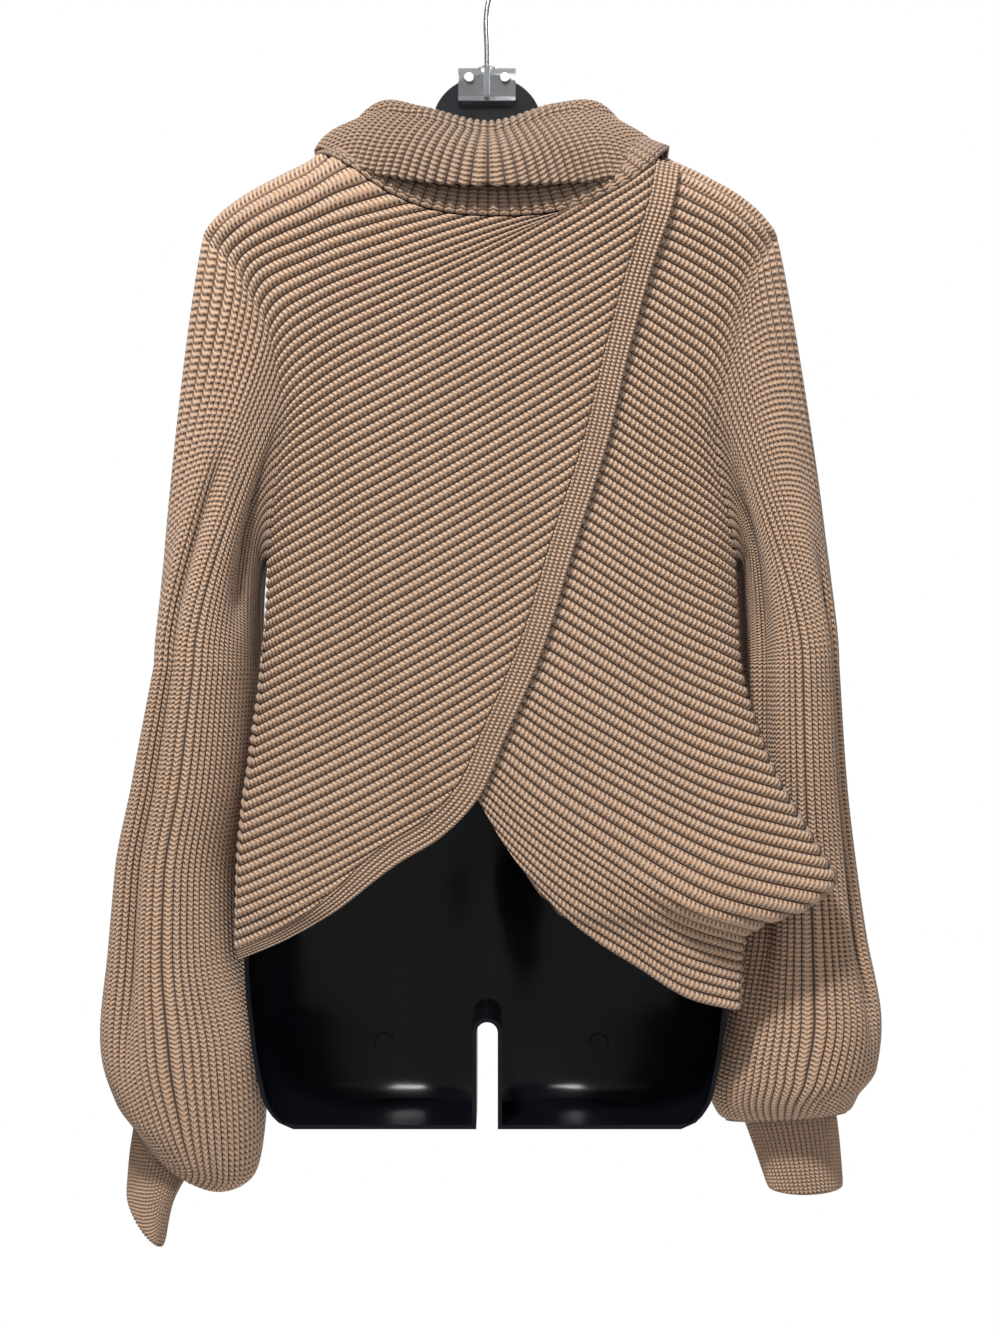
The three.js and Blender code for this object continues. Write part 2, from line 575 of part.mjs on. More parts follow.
// 0 at the shoulder's tip, 1 under the arm
const lowness = (turn) => 1 - Math.abs(2 * turn - 1);

function sleeveSurface(sign, rings, folds, hole) {
  return (s, t) => {
    const turn = t - Math.floor(t);
    const fold = folds.rows.reduce((sum, f) => (
      sum + f.depth * ease((s - f.from) / 0.3) * ease((f.to - s) / 0.3) * bell(turn, f.t, f.width)), 0);
    const ring = Math.max(0, s - 1);
    const p = sleeveRing(rings, ring, turn);
    if (s < 1) {
      const { p: from, way, out } = hole(turn);
      const reach = from.distanceTo(p);
      const under = bell(turn, 0.5, UNDERARM.width);
      const low = lowness(turn);
      const pushStart = turn > 0.5 ? 0 : UNDERARM.pushFrom;
      const push = UNDERARM.push * ease((low - pushStart) / (UNDERARM.pushFull - UNDERARM.pushFrom));
      const folded = vec(sign * UNDERARM.reach, 0, UNDERARM.rise).multiplyScalar(under);
      const start = way.clone().multiplyScalar(reach * 0.35).addScaledVector(out, push)
        .multiplyScalar(1 - under).add(folded);
      const end = vec(0, 0, -reach * 0.8);
      const up = s * s * (3 - 2 * s);
      p.multiplyScalar(up).addScaledVector(from, 1 - up)
        .addScaledVector(start, s * (1 - s) ** 2).addScaledVector(end, -s * s * (1 - s));
    }
    const centre = vec(rings.cx(ring), rings.cy(ring), p.z);
    return p.addScaledVector(centre.sub(p).normalize(), fold);
  };
}

// A tube whose rows run round it. The normals given at its two ends let neighbours meet face to face.
function tubeSolid(surface, stations, rows, coarse, rise, ends) {
  const step = 0.004;
  const last = stations.length - 1;
  const skins = (i, j) => {
    const s = stations[i];
    const t = j / rows;
    const p = surface(s, t);
    const ahead = surface(Math.min(stations[last], s + step), t);
    const along = ahead.sub(surface(Math.max(stations[0], s - step), t));
    const round = surface(s, t + step).sub(surface(s, t - step));
    const n = along.cross(round).normalize();
    const middle = Array.from({ length: 8 }, (_, k) => surface(s, k / 8))
      .reduce((sum, q) => sum.add(q), vec(0, 0, 0)).multiplyScalar(1 / 8);
    if (n.dot(p.clone().sub(middle)) < 0) n.negate();
    if (i === 0 && ends.first) n.copy(ends.first(t, n));
    if (i === last && ends.last) n.copy(ends.last(t));
    return {
      outer: p.clone().addScaledVector(n, j % 2 ? rise : 0),
      inner: p.clone().addScaledVector(n, -WALL),
    };
  };
  return skinSolid({ columns: last, fineRows: rows, coarseRows: coarse, closed: true, skins });
}

// The outward way within a ring's own plane
function ringNormal(rings, s, t) {
  const centre = vec(rings.cx(s), rings.cy(s), rings.cz(s));
  const along = cuffRing(rings, s, t + 0.01).sub(cuffRing(rings, s, t - 0.01));
  const plane = vec(rings.ux(s), 0, rings.uz(s)).cross(vec(rings.wx(s), rings.wy(s), rings.wz(s)));
  const n = along.cross(plane).normalize();
  return n.dot(cuffRing(rings, s, t).sub(centre)) < 0 ? n.negate() : n;
}

function sleeve(sign, rings, folds) {
  const hole = armhole(sign);
  const surface = sleeveSurface(sign, rings, folds, hole);
  return tubeSolid(surface, SLEEVE_STATIONS, 4 * ARM_RIBS, 2 * ARM_RIBS, RIB_RISE, {
    first: (t, own) => hole(t).normal.clone().lerp(own, ease((lowness(t) - 0.2) / 0.4)).normalize(),
    last: (t) => ringNormal(rings, 1, t),
  });
}

function cuff(rings) {
  const way = vec(rings.cx(1) - rings.cx(0), 0, rings.cz(1) - rings.cz(0)).normalize();
  const surface = (s, t) => cuffRing(rings, s, t).addScaledVector(way, CUFF_GAP * (1 - s))
    .addScaledVector(ringNormal(rings, s, t), -CUFF_TUCK * (1 - s));
  const first = (t) => ringNormal(rings, 0, t);
  return tubeSolid(surface, CUFF_STATIONS, 28, 28, 0, { first });
}

// The neckline all round, each point with its angle from 180 degrees on
function neckLoop() {
  const steps = 24;
  const points = [];
  // each point lies on the outer skin of the piece that the collar is linked to
  const onSkin = (section, facing, [c, z], lift) => {
    const patch = (u, v) => section(mix(-1, 1, u), z - 10 + 20 * v);
    const p = section(c, z);
    return p.addScaledVector(panelNormal(patch, facing, (c + 1) / 2, 0.5), lift(p) + RIB_RISE);
  };
  for (let k = 0; k < steps; k += 1) {
    points.push(onSkin(nearPoint, -1, toNear(NECKLINE(k / steps)), overLift));
  }
  for (let k = 0; k <= steps; k += 1) {
    const c = mix(1, -1, k / steps);
    points.push(onSkin(farPoint, 1, [c, farNeck(c)], () => 0));
  }
  const shape = { x: 124, y: 66 };
  return points.map((p, i) => {
    const [x, y] = [(p.x - COLLAR_CENTRE.x) / shape.x, (p.y - COLLAR_CENTRE.y) / shape.y];
    const a = Math.atan2(y, x) * 180 / Math.PI;
    if (i === 0) return { p, a: 180 };
    if (i === points.length - 1) return { p, a: 540 };
    return { p, a: i < steps ? (a + 360) % 360 : 360 + (i === steps ? 0 : a) };
  });
}

function collarSurface() {
  const loop = neckLoop();
  const neck = (deg) => {
    const a = deg < 180 ? deg + 360 : deg;
    let i = 0;
    while (i < loop.length - 2 && a > loop[i + 1].a) i += 1;
    const t = clamp01((a - loop[i].a) / (loop[i + 1].a - loop[i].a));
    return loop[i].p.clone().lerp(loop[i + 1].p, t);
  };
  const oval = (shape, deg, grow, z) => {
    const round = (x) => Math.sign(x) * Math.abs(x) ** (2 / shape.power);
    const [c, s] = [round(Math.cos(deg * Math.PI / 180)), round(Math.sin(deg * Math.PI / 180))];
    const halfY = s < 0 ? shape.nearY : shape.farY;
    return vec(COLLAR_CENTRE.x + (shape.halfX + grow) * c, COLLAR_CENTRE.y + (halfY + grow) * s, z);
  };
  return (u, t) => {
    const deg = (t - Math.floor(t)) * 360;
    const [foldZ, edgeZ] = [COLLAR.foldZ(deg), COLLAR.edgeZ(deg)];
    const { radius } = COLLAR_FOLD;
    const inner = oval(COLLAR_FOLD, deg, -radius, foldZ - radius);
    const outer = oval(COLLAR_FOLD, deg, radius, foldZ - radius);
    if (u < 0.4) return neck(deg).add(vec(0, 0, SEAM_GAP + 1.6)).lerp(inner, u / 0.4);
    if (u <= 0.6) {
      const turn = (u - 0.4) / 0.2 * Math.PI;
      const top = inner.clone().lerp(outer, (1 - Math.cos(turn)) / 2);
      top.z += radius * Math.sin(turn);
      return top;
    }
    const share = (u - 0.6) / 0.4;
    const bow = 5 * Math.sin(share * Math.PI);
    return outer.lerp(oval(COLLAR_EDGE, deg, 0, edgeZ), share)
      .add(vec(Math.cos(deg * Math.PI / 180) * bow, Math.sin(deg * Math.PI / 180) * bow, bow * 0.5));
  };
}

function collar() {
  const surface = collarSurface();
  const rows = 2 * COLLAR_RIBS;
  const step = 0.004;
  const skins = (i, j) => {
    const [s, t] = [COLLAR_STATIONS[i], j / rows];
    const p = surface(s, t);
    const along = surface(Math.min(1, s + step), t).sub(surface(Math.max(0, s - step), t));
    const round = surface(s, t + step).sub(surface(s, t - step));
    const n = round.cross(along).normalize();
    // the ribbed skin faces the neck on the stand, up on the fold, and outwards on the turned-down part
    const facing = vec(COLLAR_CENTRE.x - p.x, COLLAR_CENTRE.y - p.y, 0).multiplyScalar(s < 0.5 ? 1 : -1);
    if (s === 0.5) facing.set(0, 0, 1);
    if (n.dot(facing) < 0) n.negate();
    if (i === 0) n.setZ(0).normalize();
    return {
      outer: p.clone().addScaledVector(n, j % 2 ? RIB_RISE : 0),
      inner: p.clone().addScaledVector(n, -WALL),
    };
  };
  const columns = COLLAR_STATIONS.length - 1;
  return skinSolid({ columns, fineRows: rows, coarseRows: COLLAR_RIBS, closed: true, skins });
}

// Solids that are cut or joined
const wasm = await Module();
wasm.setup();

function solid(geometry) {
  const bare = geometry.clone();
  bare.deleteAttribute('normal');
  bare.deleteAttribute('uv');
  const merged = mergeVertices(bare, 1e-4);
  return new wasm.Manifold(new wasm.Mesh({
    numProp: 3,
    vertProperties: new Float32Array(merged.attributes.position.array),
    triVerts: new Uint32Array(merged.index.array),
  }));
}

function geometryOf(manifold) {
  const mesh = manifold.getMesh();
  const geometry = new THREE.BufferGeometry();
  geometry.setAttribute('position', new THREE.BufferAttribute(new Float32Array(mesh.vertProperties), 3));
  geometry.setIndex(new THREE.BufferAttribute(new Uint32Array(mesh.triVerts), 1));
  return geometry;
}

// A half body of the form's sections, closed by a flat at y = flat and drawn in by `inset`
function halfBody(flat, inset) {
  const { rows } = FORM;
  const ring = FORM_SIDES + 1;
  const positions = [];
  const index = [];
  rows.forEach((row, j) => {
    const end = j === 0 ? -1 : j === rows.length - 1 ? 1 : 0;
    for (let k = 0; k < ring; k += 1) {
      const a = k / FORM_SIDES * Math.PI;
      const y = k === 0 || k === FORM_SIDES ? flat : FORM_RIM_Y + (row.depth - inset) * Math.sin(a);
      positions.push((row.half - inset) * Math.cos(a), y, row.z + end * inset);
    }
  });
  for (let j = 0; j < rows.length - 1; j += 1) {
    for (let k = 0; k < ring; k += 1) {
      const [a, b] = [j * ring + k, j * ring + (k + 1) % ring];
      index.push(a, b, b + ring, a, b + ring, a + ring);
    }
  }
  const base = (rows.length - 1) * ring;
  for (let k = 1; k < FORM_SIDES; k += 1) {
    index.push(0, k + 1, k);
    index.push(base, base + k, base + k + 1);
  }
  return facingOut(positions, index);
}

// An upright slot with a round top, right through along Y
function slotBlock(halfWidth, top) {
  const shape = new THREE.Shape();
  shape.moveTo(-halfWidth, -900);
  shape.lineTo(halfWidth, -900);
  shape.lineTo(halfWidth, top - halfWidth);
  shape.absarc(0, top - halfWidth, halfWidth, 0, Math.PI, false);
  shape.closePath();
  return new THREE.ExtrudeGeometry(shape, { depth: 300, bevelEnabled: false, curveSegments: 8 })
    .rotateX(Math.PI / 2).translate(0, 200, 0);
}

function torsoForm() {
  const slotWall = solid(slotBlock(SLOT_HALF_WIDTH + FORM_WALL, SLOT_TOP + FORM_WALL));
  const hollow = solid(halfBody(-40, FORM_WALL)).subtract(slotWall);
  const plate = new THREE.Shape();
  const arcHeight = NECK_PLATE.top - NECK_PLATE.centreZ;
  plate.absellipse(0, NECK_PLATE.centreZ, NECK_PLATE.halfWidth, arcHeight, 0, Math.PI, false);
  plate.lineTo(-NECK_PLATE.halfWidth, NECK_PLATE.bottom);
  plate.lineTo(NECK_PLATE.halfWidth, NECK_PLATE.bottom);
  plate.closePath();
  const upright = { depth: FORM_WALL, bevelEnabled: false, curveSegments: 10 };
  const neck = new THREE.ExtrudeGeometry(plate, upright)
    .rotateX(Math.PI / 2).translate(0, FORM_RIM_Y + FORM_WALL, 0);
  return geometryOf(solid(halfBody(FORM_RIM_Y, 0)).subtract(hollow).add(solid(neck))
    .subtract(solid(slotBlock(SLOT_HALF_WIDTH, SLOT_TOP))));
}

// The wire hook: a straight shank, a bend, then the open round that goes over a rail
function hook() {
  const points = [vec(0, 0, -122), vec(0, 0, -92), vec(0, 0, -62), vec(2.5, 0, -53), vec(9, 0, -44)];
  for (let deg = -40; deg <= 200; deg += 20) {
    const a = deg * Math.PI / 180;
    points.push(vec(Math.cos(a) * HOOK_R, 0, WIRE_R - HOOK_R + Math.sin(a) * HOOK_R));
  }
  const section = new THREE.Shape();
  section.absarc(0, 0, WIRE_R, 0, 2 * Math.PI, false);
  const path = new THREE.CatmullRomCurve3(points, false, 'centripetal');
  const along = { steps: 32, curveSegments: 5, bevelEnabled: false, extrudePath: path };
  return new THREE.ExtrudeGeometry(section, along);
}

function clamp() {
  const block = (x, y0, y1, z0, z1) => solid(new THREE.BoxGeometry(2 * x, y1 - y0, z1 - z0)
    .translate(0, (y0 + y1) / 2, (z0 + z1) / 2));
  const upright = (radius, y, z0, z1) => solid(new THREE.CylinderGeometry(radius, radius, z1 - z0, 20)
    .rotateX(Math.PI / 2).translate(0, y, (z0 + z1) / 2));
  const boss = upright(CLAMP.bossR, -1, CLAMP.bottom, CLAMP.top + 2);
  const bore = upright(BORE_R, 0, CLAMP.bottom + 2, CLAMP.top + 3);
  const [slotFront, slotBack] = [FORM_RIM_Y - 0.3, FORM_RIM_Y + FORM_WALL + 0.3];
  const slot = block(60, slotFront, slotBack, CLAMP.bottom - 5, NECK_PLATE.top + 0.5);
  return geometryOf(block(CLAMP.halfWidth, CLAMP.front, CLAMP.back, CLAMP.bottom, CLAMP.top)
    .add(boss).subtract(slot).subtract(bore));
}

function screw(side) {
  return new THREE.CylinderGeometry(SCREW.radius, SCREW.radius, SCREW.height, 16)
    .translate(side * SCREW.x, CLAMP.front - 0.3 - SCREW.height / 2, SCREW.z);
}

const knit = () => new THREE.MeshStandardMaterial({ color: 0xa4836a, roughness: 0.95, metalness: 0 });
const blackPlastic = new THREE.MeshStandardMaterial({ color: 0x0b0c0e, roughness: 0.22, metalness: 0 });
const clearPlastic = new THREE.MeshStandardMaterial({ color: 0xb9bfc2, roughness: 0.15, metalness: 0 });
const steel = new THREE.MeshStandardMaterial({ color: 0x8d9093, roughness: 0.2, metalness: 1 });

const sweater = new THREE.Group();
const hanging = new THREE.Group();
const object = new THREE.Group();
object.add(sweater, hanging);

function piece(group, name, geometry, material) {
  const mesh = new THREE.Mesh(geometry, material);
  mesh.name = name;
  group.add(mesh);
}

piece(sweater, 'under_wrap_right', ribbedPanel(underSurface, -1, COLUMNS), knit());
piece(sweater, 'over_wrap_left', ribbedPanel(overSurface, -1, COLUMNS, overLift), knit());
piece(sweater, 'over_wrap_band', band(), knit());
piece(sweater, 'plain_side', ribbedPanel(farSurface, 1, FAR_COLUMNS), knit());
piece(sweater, 'sleeve_left', sleeve(-1, LEFT_SLEEVE, LEFT_FOLDS), knit());
piece(sweater, 'sleeve_right', sleeve(1, RIGHT_SLEEVE, RIGHT_FOLDS), knit());
piece(sweater, 'cuff_left', cuff(LEFT_CUFF), knit());
piece(sweater, 'cuff_right', cuff(RIGHT_CUFF), knit());
piece(sweater, 'collar', collar(), knit());
piece(hanging, 'torso_form', torsoForm(), blackPlastic);
piece(hanging, 'hook', hook(), steel);
piece(hanging, 'hook_clamp', clamp(), clearPlastic);
piece(hanging, 'clamp_screw_left', screw(-1), steel);
piece(hanging, 'clamp_screw_right', screw(1), steel);

export default object;
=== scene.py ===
# A knitted wrap sweater on a hanging, hollow-backed torso form, dressed for the photograph's view.
# Cloth is worked out in millimetres in the model's frame and made as thin shells, whose outer points rise on
# each rib.
import math
from types import SimpleNamespace

import bpy
import numpy as np
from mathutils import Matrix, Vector


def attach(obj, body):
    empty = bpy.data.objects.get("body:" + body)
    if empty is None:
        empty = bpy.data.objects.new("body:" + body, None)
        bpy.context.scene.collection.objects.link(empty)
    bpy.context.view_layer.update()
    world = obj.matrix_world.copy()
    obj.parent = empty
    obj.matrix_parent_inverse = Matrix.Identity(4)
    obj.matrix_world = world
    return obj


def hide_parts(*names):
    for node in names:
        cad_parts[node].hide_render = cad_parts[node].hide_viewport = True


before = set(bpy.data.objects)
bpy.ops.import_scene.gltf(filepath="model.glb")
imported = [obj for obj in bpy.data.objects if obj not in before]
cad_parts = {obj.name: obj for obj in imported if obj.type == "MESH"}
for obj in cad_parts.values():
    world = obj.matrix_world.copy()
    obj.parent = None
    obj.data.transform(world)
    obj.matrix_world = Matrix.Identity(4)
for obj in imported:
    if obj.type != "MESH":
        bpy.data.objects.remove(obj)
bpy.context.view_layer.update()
bpy.ops.object.select_all(action="DESELECT")

MM = 0.001

# Cloth
OVER_RIBS = 69          # ribs of the over wrap, from the shoulder to the hem
UNDER_RIBS = 73         # the same for the under wrap
PLAIN_RIBS = 69         # and for the plain side
ARM_RIBS = 32           # of each, the ribs that run on into the sleeve
ARM_SHARE = ARM_RIBS / PLAIN_RIBS
COLLAR_RIBS = 116
CUFF_RIBS = 52
BAND_WALES = 5
RIB_RISE = 1.6          # height of a rib's crest over the cloth's middle surface
RIB_DEPTH = 1.7         # depth of the groove between ribs under it
BACK = 2.6              # the inner skin's distance
LAYER = 6.5             # how far the over wrap lies outside the under wrap
BAND_WIDTH = 17
BAND_END_WIDTH = 8
SECTION_POWER = 2.4
SLEEVE_POWER = 2.6
ARCH = 12
CUFF_TUCK = 3.0
STITCH = 3.3            # length of one stitch along a rib


# Tables with named columns
def monotone(keys, values):
    xs, ys = np.asarray(keys, float), np.asarray(values, float)
    if xs[0] > xs[-1]:
        xs, ys = xs[::-1], ys[::-1]
    rise = np.diff(ys) / np.diff(xs)
    slope = np.empty_like(ys)
    slope[0], slope[-1] = rise[0], rise[-1]
    total = rise[:-1] + rise[1:]
    product = rise[:-1] * rise[1:]
    slope[1:-1] = np.where(product <= 0, 0, 2 * product / np.where(total == 0, 1, total))

    def value(x):
        x = np.clip(np.asarray(x, float), xs[0], xs[-1])
        i = np.clip(np.searchsorted(xs, x, side="right") - 1, 0, len(xs) - 2)
        width = xs[i + 1] - xs[i]
        t = (x - xs[i]) / width
        up = t * t * (3 - 2 * t)
        bend = slope[i] * t * (1 - t) ** 2 - slope[i + 1] * t * t * (1 - t)
        return ys[i] * (1 - up) + ys[i + 1] * up + width * bend

    return value


def table(names, rows):
    columns = list(zip(*rows))
    made = {name: monotone(columns[0], columns[k + 1]) for k, name in enumerate(names[1:])}
    return SimpleNamespace(rows=[SimpleNamespace(**dict(zip(names, row))) for row in rows], **made)


# A smooth line through (x, z) points, by share of its length
def line(points):
    p = np.array(points, float)
    chord = np.concatenate([[0], np.cumsum(np.hypot(*np.diff(p, axis=0).T))])
    slope = np.gradient(p, chord, axis=0)
    s = np.linspace(0, chord[-1], 900)
    i = np.clip(np.searchsorted(chord, s, side="right") - 1, 0, len(chord) - 2)
    width = (chord[i + 1] - chord[i])[:, None]
    t = (s[:, None] - chord[i][:, None]) / width
    dense = (p[i] * (1 + 2 * t) * (1 - t) ** 2 + p[i + 1] * t * t * (3 - 2 * t)
             + width * (slope[i] * t * (1 - t) ** 2 - slope[i + 1] * t * t * (1 - t)))
    length = np.concatenate([[0], np.cumsum(np.hypot(*np.diff(dense, axis=0).T))])
    length /= length[-1]

    def at(f):
        f = np.clip(np.asarray(f, float), 0, 1)
        return np.interp(f, length, dense[:, 0]), np.interp(f, length, dense[:, 1])

    return at


def share_at_z(path, z):
    f = np.linspace(0, 1, 1601)
    return np.interp(-np.asarray(z, float), -path(f)[1], f)


def mix(a, b, t):
    return a + (b - a) * t


def ease(t):
    t = np.clip(t, 0, 1)
    return t * t * (3 - 2 * t)


def bell(t, middle, width):
    return np.exp(-(((t - middle) / width) ** 2))


def unit(v):
    return v / np.maximum(np.linalg.norm(v, axis=-1, keepdims=True), 1e-9)


def dot(a, b):
    return (a * b).sum(axis=-1, keepdims=True)


def stack(*parts):
    return np.stack(np.broadcast_arrays(*parts), axis=-1)


BODY = table(["z", "seam_l", "seam_r", "seam_y", "near_y", "side_l", "side_r", "side_y", "far_y"], [
    [-150, -100, 106, 18, -34, -100, 106, 18, 70],
    [-166, -121, 127, 18, -40, -121, 127, 18, 80],
    [-180, -150, 157, 18, -43, -150, 157, 18, 88],
    [-195, -177, 183, 18, -45, -177, 183, 18, 95],
    [-208, -193, 197, 18, -45, -193, 197, 18, 100],
    [-219, -200, 204, 18, -44, -200, 204, 18, 104],
    [-258, -202, 206, 18, -39, -202, 206, 18, 114],
    [-297, -196, 202, 18, -35, -196, 202, 18, 120],
    [-338, -186, 192, 18, -32, -186, 192, 18, 122],
    [-373, -175, 183, 17, -30, -175, 183, 17, 120],
    [-420, -160, 177, 14, -29, -160, 177, 14, 117],
    [-446, -154, 175, 11, -29, -154, 175, 11, 115],
    [-510, -156, 177, 4, -29, -158, 177, 5, 112],
    [-580, -162, 194, -6, -30, -166, 178, 2, 110],
    [-614, -167, 210, -12, -32, -171, 178, 1, 111],
    [-650, -170, 231, -17, -34, -174, 178, 0, 114],
    [-668, -171, 240, -20, -36, -175, 178, 0, 116],
    [-686, -172, 222, -20, -35, -175, 178, 0, 117],
    [-700, -172.5, 188, -18, -30, -175, 178, 0, 117],
    [-710, -173, 178, -16, -28, -175, 178, 0, 117],
    [-765, -173, 175, -14, -27, -175, 177, 0, 116],
])
ARMHOLE = table(["z", "left", "right"], [
    [-219, 0, 0], [-258, 35, 22], [-297, 48, 30], [-338, 45, 31], [-373, 31, 23], [-420, 10, 8],
    [-446, 0, 0],
])
# Heights on the side seam line at which the ribs leave each panel
OVER_ENDS = table(["rib", "z"], [[0, -219], [ARM_RIBS, -446], [OVER_RIBS, -717.4]])
UNDER_ENDS = table(["rib", "z"], [
    [0, -219], [ARM_RIBS, -446], [41, -510], [58.5, -664], [61, -684], [63.2, -698], [65.5, -710],
    [UNDER_RIBS, -759],
])
PLAIN_ENDS = table(["v", "left", "right"], [[0, -219, -219], [ARM_SHARE, -446, -446], [1, -717.4, -759]])
# The ribs end along the neckline down to the corner rib, and then down the wrap's edge at an even pitch
OVER_NECK = table(["rib", "f"], [[0, 0], [4.9, 0.31], [8.4, 0.49], [11.9, 0.75], [14.5, 1]])
UNDER_NECK = table(["rib", "f"], [[0, 0], [7, 0.31], [12, 0.49], [17, 0.76], [21, 1]])
OVER_PITCH = table(["rib", "mm"], [[14, 5.2], [32, 5.7], [50, 6.1], [OVER_RIBS, 6.3]])
UNDER_PITCH = table(["rib", "mm"], [[21, 6.3], [50, 6.2], [UNDER_RIBS, 6.2]])
# How much each rib sags below a straight line between its ends
OVER_SAG = table(["rib", "share"], [[0, 0], [10, 0.1], [20, 0.18], [60, 0.18], [OVER_RIBS, 0]])
UNDER_SAG = table(["rib", "share"], [
    [0, 0], [20, 0.08], [45, 0.14], [56, 0.4], [63, 0.4], [67, 0.2], [UNDER_RIBS, 0],
])
OVER_EDGE = line([
    [130.5, -182], [124.4, -211.6], [116.2, -235.6], [98.5, -298.3], [80.7, -373.1], [59.5, -440.2],
    [38.4, -509.4], [11.5, -573.1], [-6, -612], [-32, -638.8], [-59.4, -655.3], [-107.3, -691.6],
    [-135.2, -707.9], [-173, -724.6],
])
UNDER_EDGE = line([
    [-80, -193], [-82, -215], [-82, -270], [-77, -330], [-68, -400], [-56, -470], [-43, -520], [-31, -560],
    [-19, -592], [-4.6, -614.9], [12.5, -643.6], [36.5, -674.5], [63.9, -701.8], [105, -729.2],
    [139.5, -750.3], [172, -759],
])
NECKLINE = line([
    [-121, -166], [-87.8, -188.2], [-59.2, -206.3], [-24.8, -216.2], [0.3, -218], [22.6, -218],
    [63.5, -211.1], [98.3, -194.2], [127, -166],
])
SHOULDER = SimpleNamespace(tip=-219, neck=-166)
NECK_TO_BAND = 0.93
NECK_TO_HIDDEN = 0.16
LIFT_RAMP = SimpleNamespace(start=48, full=14)
FAR_NECK = SimpleNamespace(dip=23, start=0.2)
HEM = SimpleNamespace(left=-717.4, right=-759)
WING = SimpleNamespace(rib=63.5, above=8, below=1.2, start=0.5, full=0.85, swell=13)

RING = ["s", "cx", "cy", "cz", "ux", "uz", "wx", "wy", "wz"]
LEFT_END = [-236, 52, -866, -21, 7, 16, -34, -15]
LEFT_SLEEVE = table(RING, [
    [0, -202, 55, -520, -35, 0, 0, -76, 0],
    [0.22, -213, 58, -604, -41, 0, 0, -74, 0],
    [0.4, -224, 60, -670, -43, 0, 0, -73, 0],
    [0.53, -225.5, 59, -722, -46, 0, 0, -72, 0],
    [0.72, -220, 56, -795, -57, 0, 0, -70, 0],
    [0.84, -216, 54, -838, -53, 10, 3, -62, -6],
    [0.92, -214, 52, -864, -45, 20, 7, -50, -10],
    [0.965, -221, 52, -873, -33, 18, 11, -41, -12],
    [1, *LEFT_END],
])
LEFT_CUFF = table(RING, [
    [0, *LEFT_END],
    [0.5, -245, 52, -894, -14, 4, 16, -35, -12],
    [1, -249, 52, -922, -10, 2, 16, -35, -11],
])
RIGHT_END = [219, 58, -842, 37, 3, -4, -30, 8]
RIGHT_SLEEVE = table(RING, [
    [0, 219, 62, -520, 33, 0, 0, -76, 0],
    [0.24, 222.5, 68, -604, 36.5, 0, 0, -73, 0],
    [0.44, 227, 74, -677, 42, 0, 0, -71, 0],
    [0.55, 228.5, 73, -714, 46, 0, 0, -70, 0],
    [0.7, 229, 68, -766, 55, 0, 0, -70, 0],
    [0.84, 222.5, 62, -810, 59, 0, 0, -66, 0],
    [0.92, 217, 60, -836, 52, 3, -2, -56, 4],
    [0.96, 218, 58, -847, 45, 3, -3, -42, 6],
    [1, *RIGHT_END],
])
RIGHT_CUFF = table(RING, [
    [0, *RIGHT_END],
    [0.4, 225, 57, -866, 33, 2, -5, -31, 5],
    [1, 232, 56, -900, 27, 0, -6, -33, 2],
])
FOLD = ["t", "width", "depth", "start", "end"]
LEFT_FOLDS = table(FOLD, [
    [0.165, 0.035, 15, 0.35, 1.85], [0.36, 0.04, 9, 0.1, 0.9], [0.78, 0.05, 10, 0.3, 1.7],
])
RIGHT_FOLDS = table(FOLD, [
    [0.115, 0.03, 14, 0.6, 1.85], [0.36, 0.04, 12, 0.2, 1.8], [0.76, 0.05, 10, 0.3, 1.7],
])
UNDERARM = SimpleNamespace(width=0.07, reach=40, rise=12, push=55, push_from=0.35, push_full=0.75)

COLLAR = table(["deg", "fold_z", "edge_z"], [
    [0, -141, -160], [20, -142, -170], [45, -146, -180], [90, -150, -192], [135, -146, -180],
    [160, -141, -169], [180, -139, -159], [200, -134, -163], [216, -131, -175], [240, -140, -192],
    [270, -152, -201], [300, -138, -196], [324, -131, -181], [340, -135, -168], [360, -141, -160],
])
COLLAR_CENTRE = SimpleNamespace(x=1, y=22)
COLLAR_FOLD = SimpleNamespace(half_x=88, near_y=60, far_y=58, radius=8, power=2)
COLLAR_EDGE = SimpleNamespace(half_x=122, near_y=84, far_y=92, power=2.5)
# Shares of the collar's length at which its stand ends and its fall begins, and how far the fall bows out
STAND_SHARE = 0.4
FALL_SHARE = 0.6
FALL_BOW = 5
NECK_ROUND = SimpleNamespace(half_x=124, half_y=66, steps=48)

# Relief of the fine knit, the bands' inner skins, and how near a point counts as on the side seam
CUFF_RELIEF = 0.75
CUFF_BACK = 2.2
BAND_RELIEF = 0.7
BAND_BACK = 2.4
BAND_ROWS = 330
SEAM_TOUCH = 0.8


# The body as two half sections. On the wrap side s runs straight across from -1 at the left seam to 1 at the
# right seam; on the plain side c runs round the form in the same way.
def bowed(s):
    return (1 - np.minimum(1, np.abs(s) ** SECTION_POWER)) ** (1 / SECTION_POWER)


def near_point(s, z):
    seam_y = BODY.seam_y(z)
    y = seam_y + (BODY.near_y(z) - seam_y) * bowed(s)
    return stack(mix(BODY.seam_l(z), BODY.seam_r(z), (1 + s) / 2), y, z)


def side_share(z, left):
    side = np.where(left, BODY.side_l(z), BODY.side_r(z))
    seam = np.where(left, BODY.seam_l(z), BODY.seam_r(z))
    return 1 - np.minimum(0.3, np.hypot(side - seam, BODY.side_y(z) - BODY.seam_y(z)) / 300)


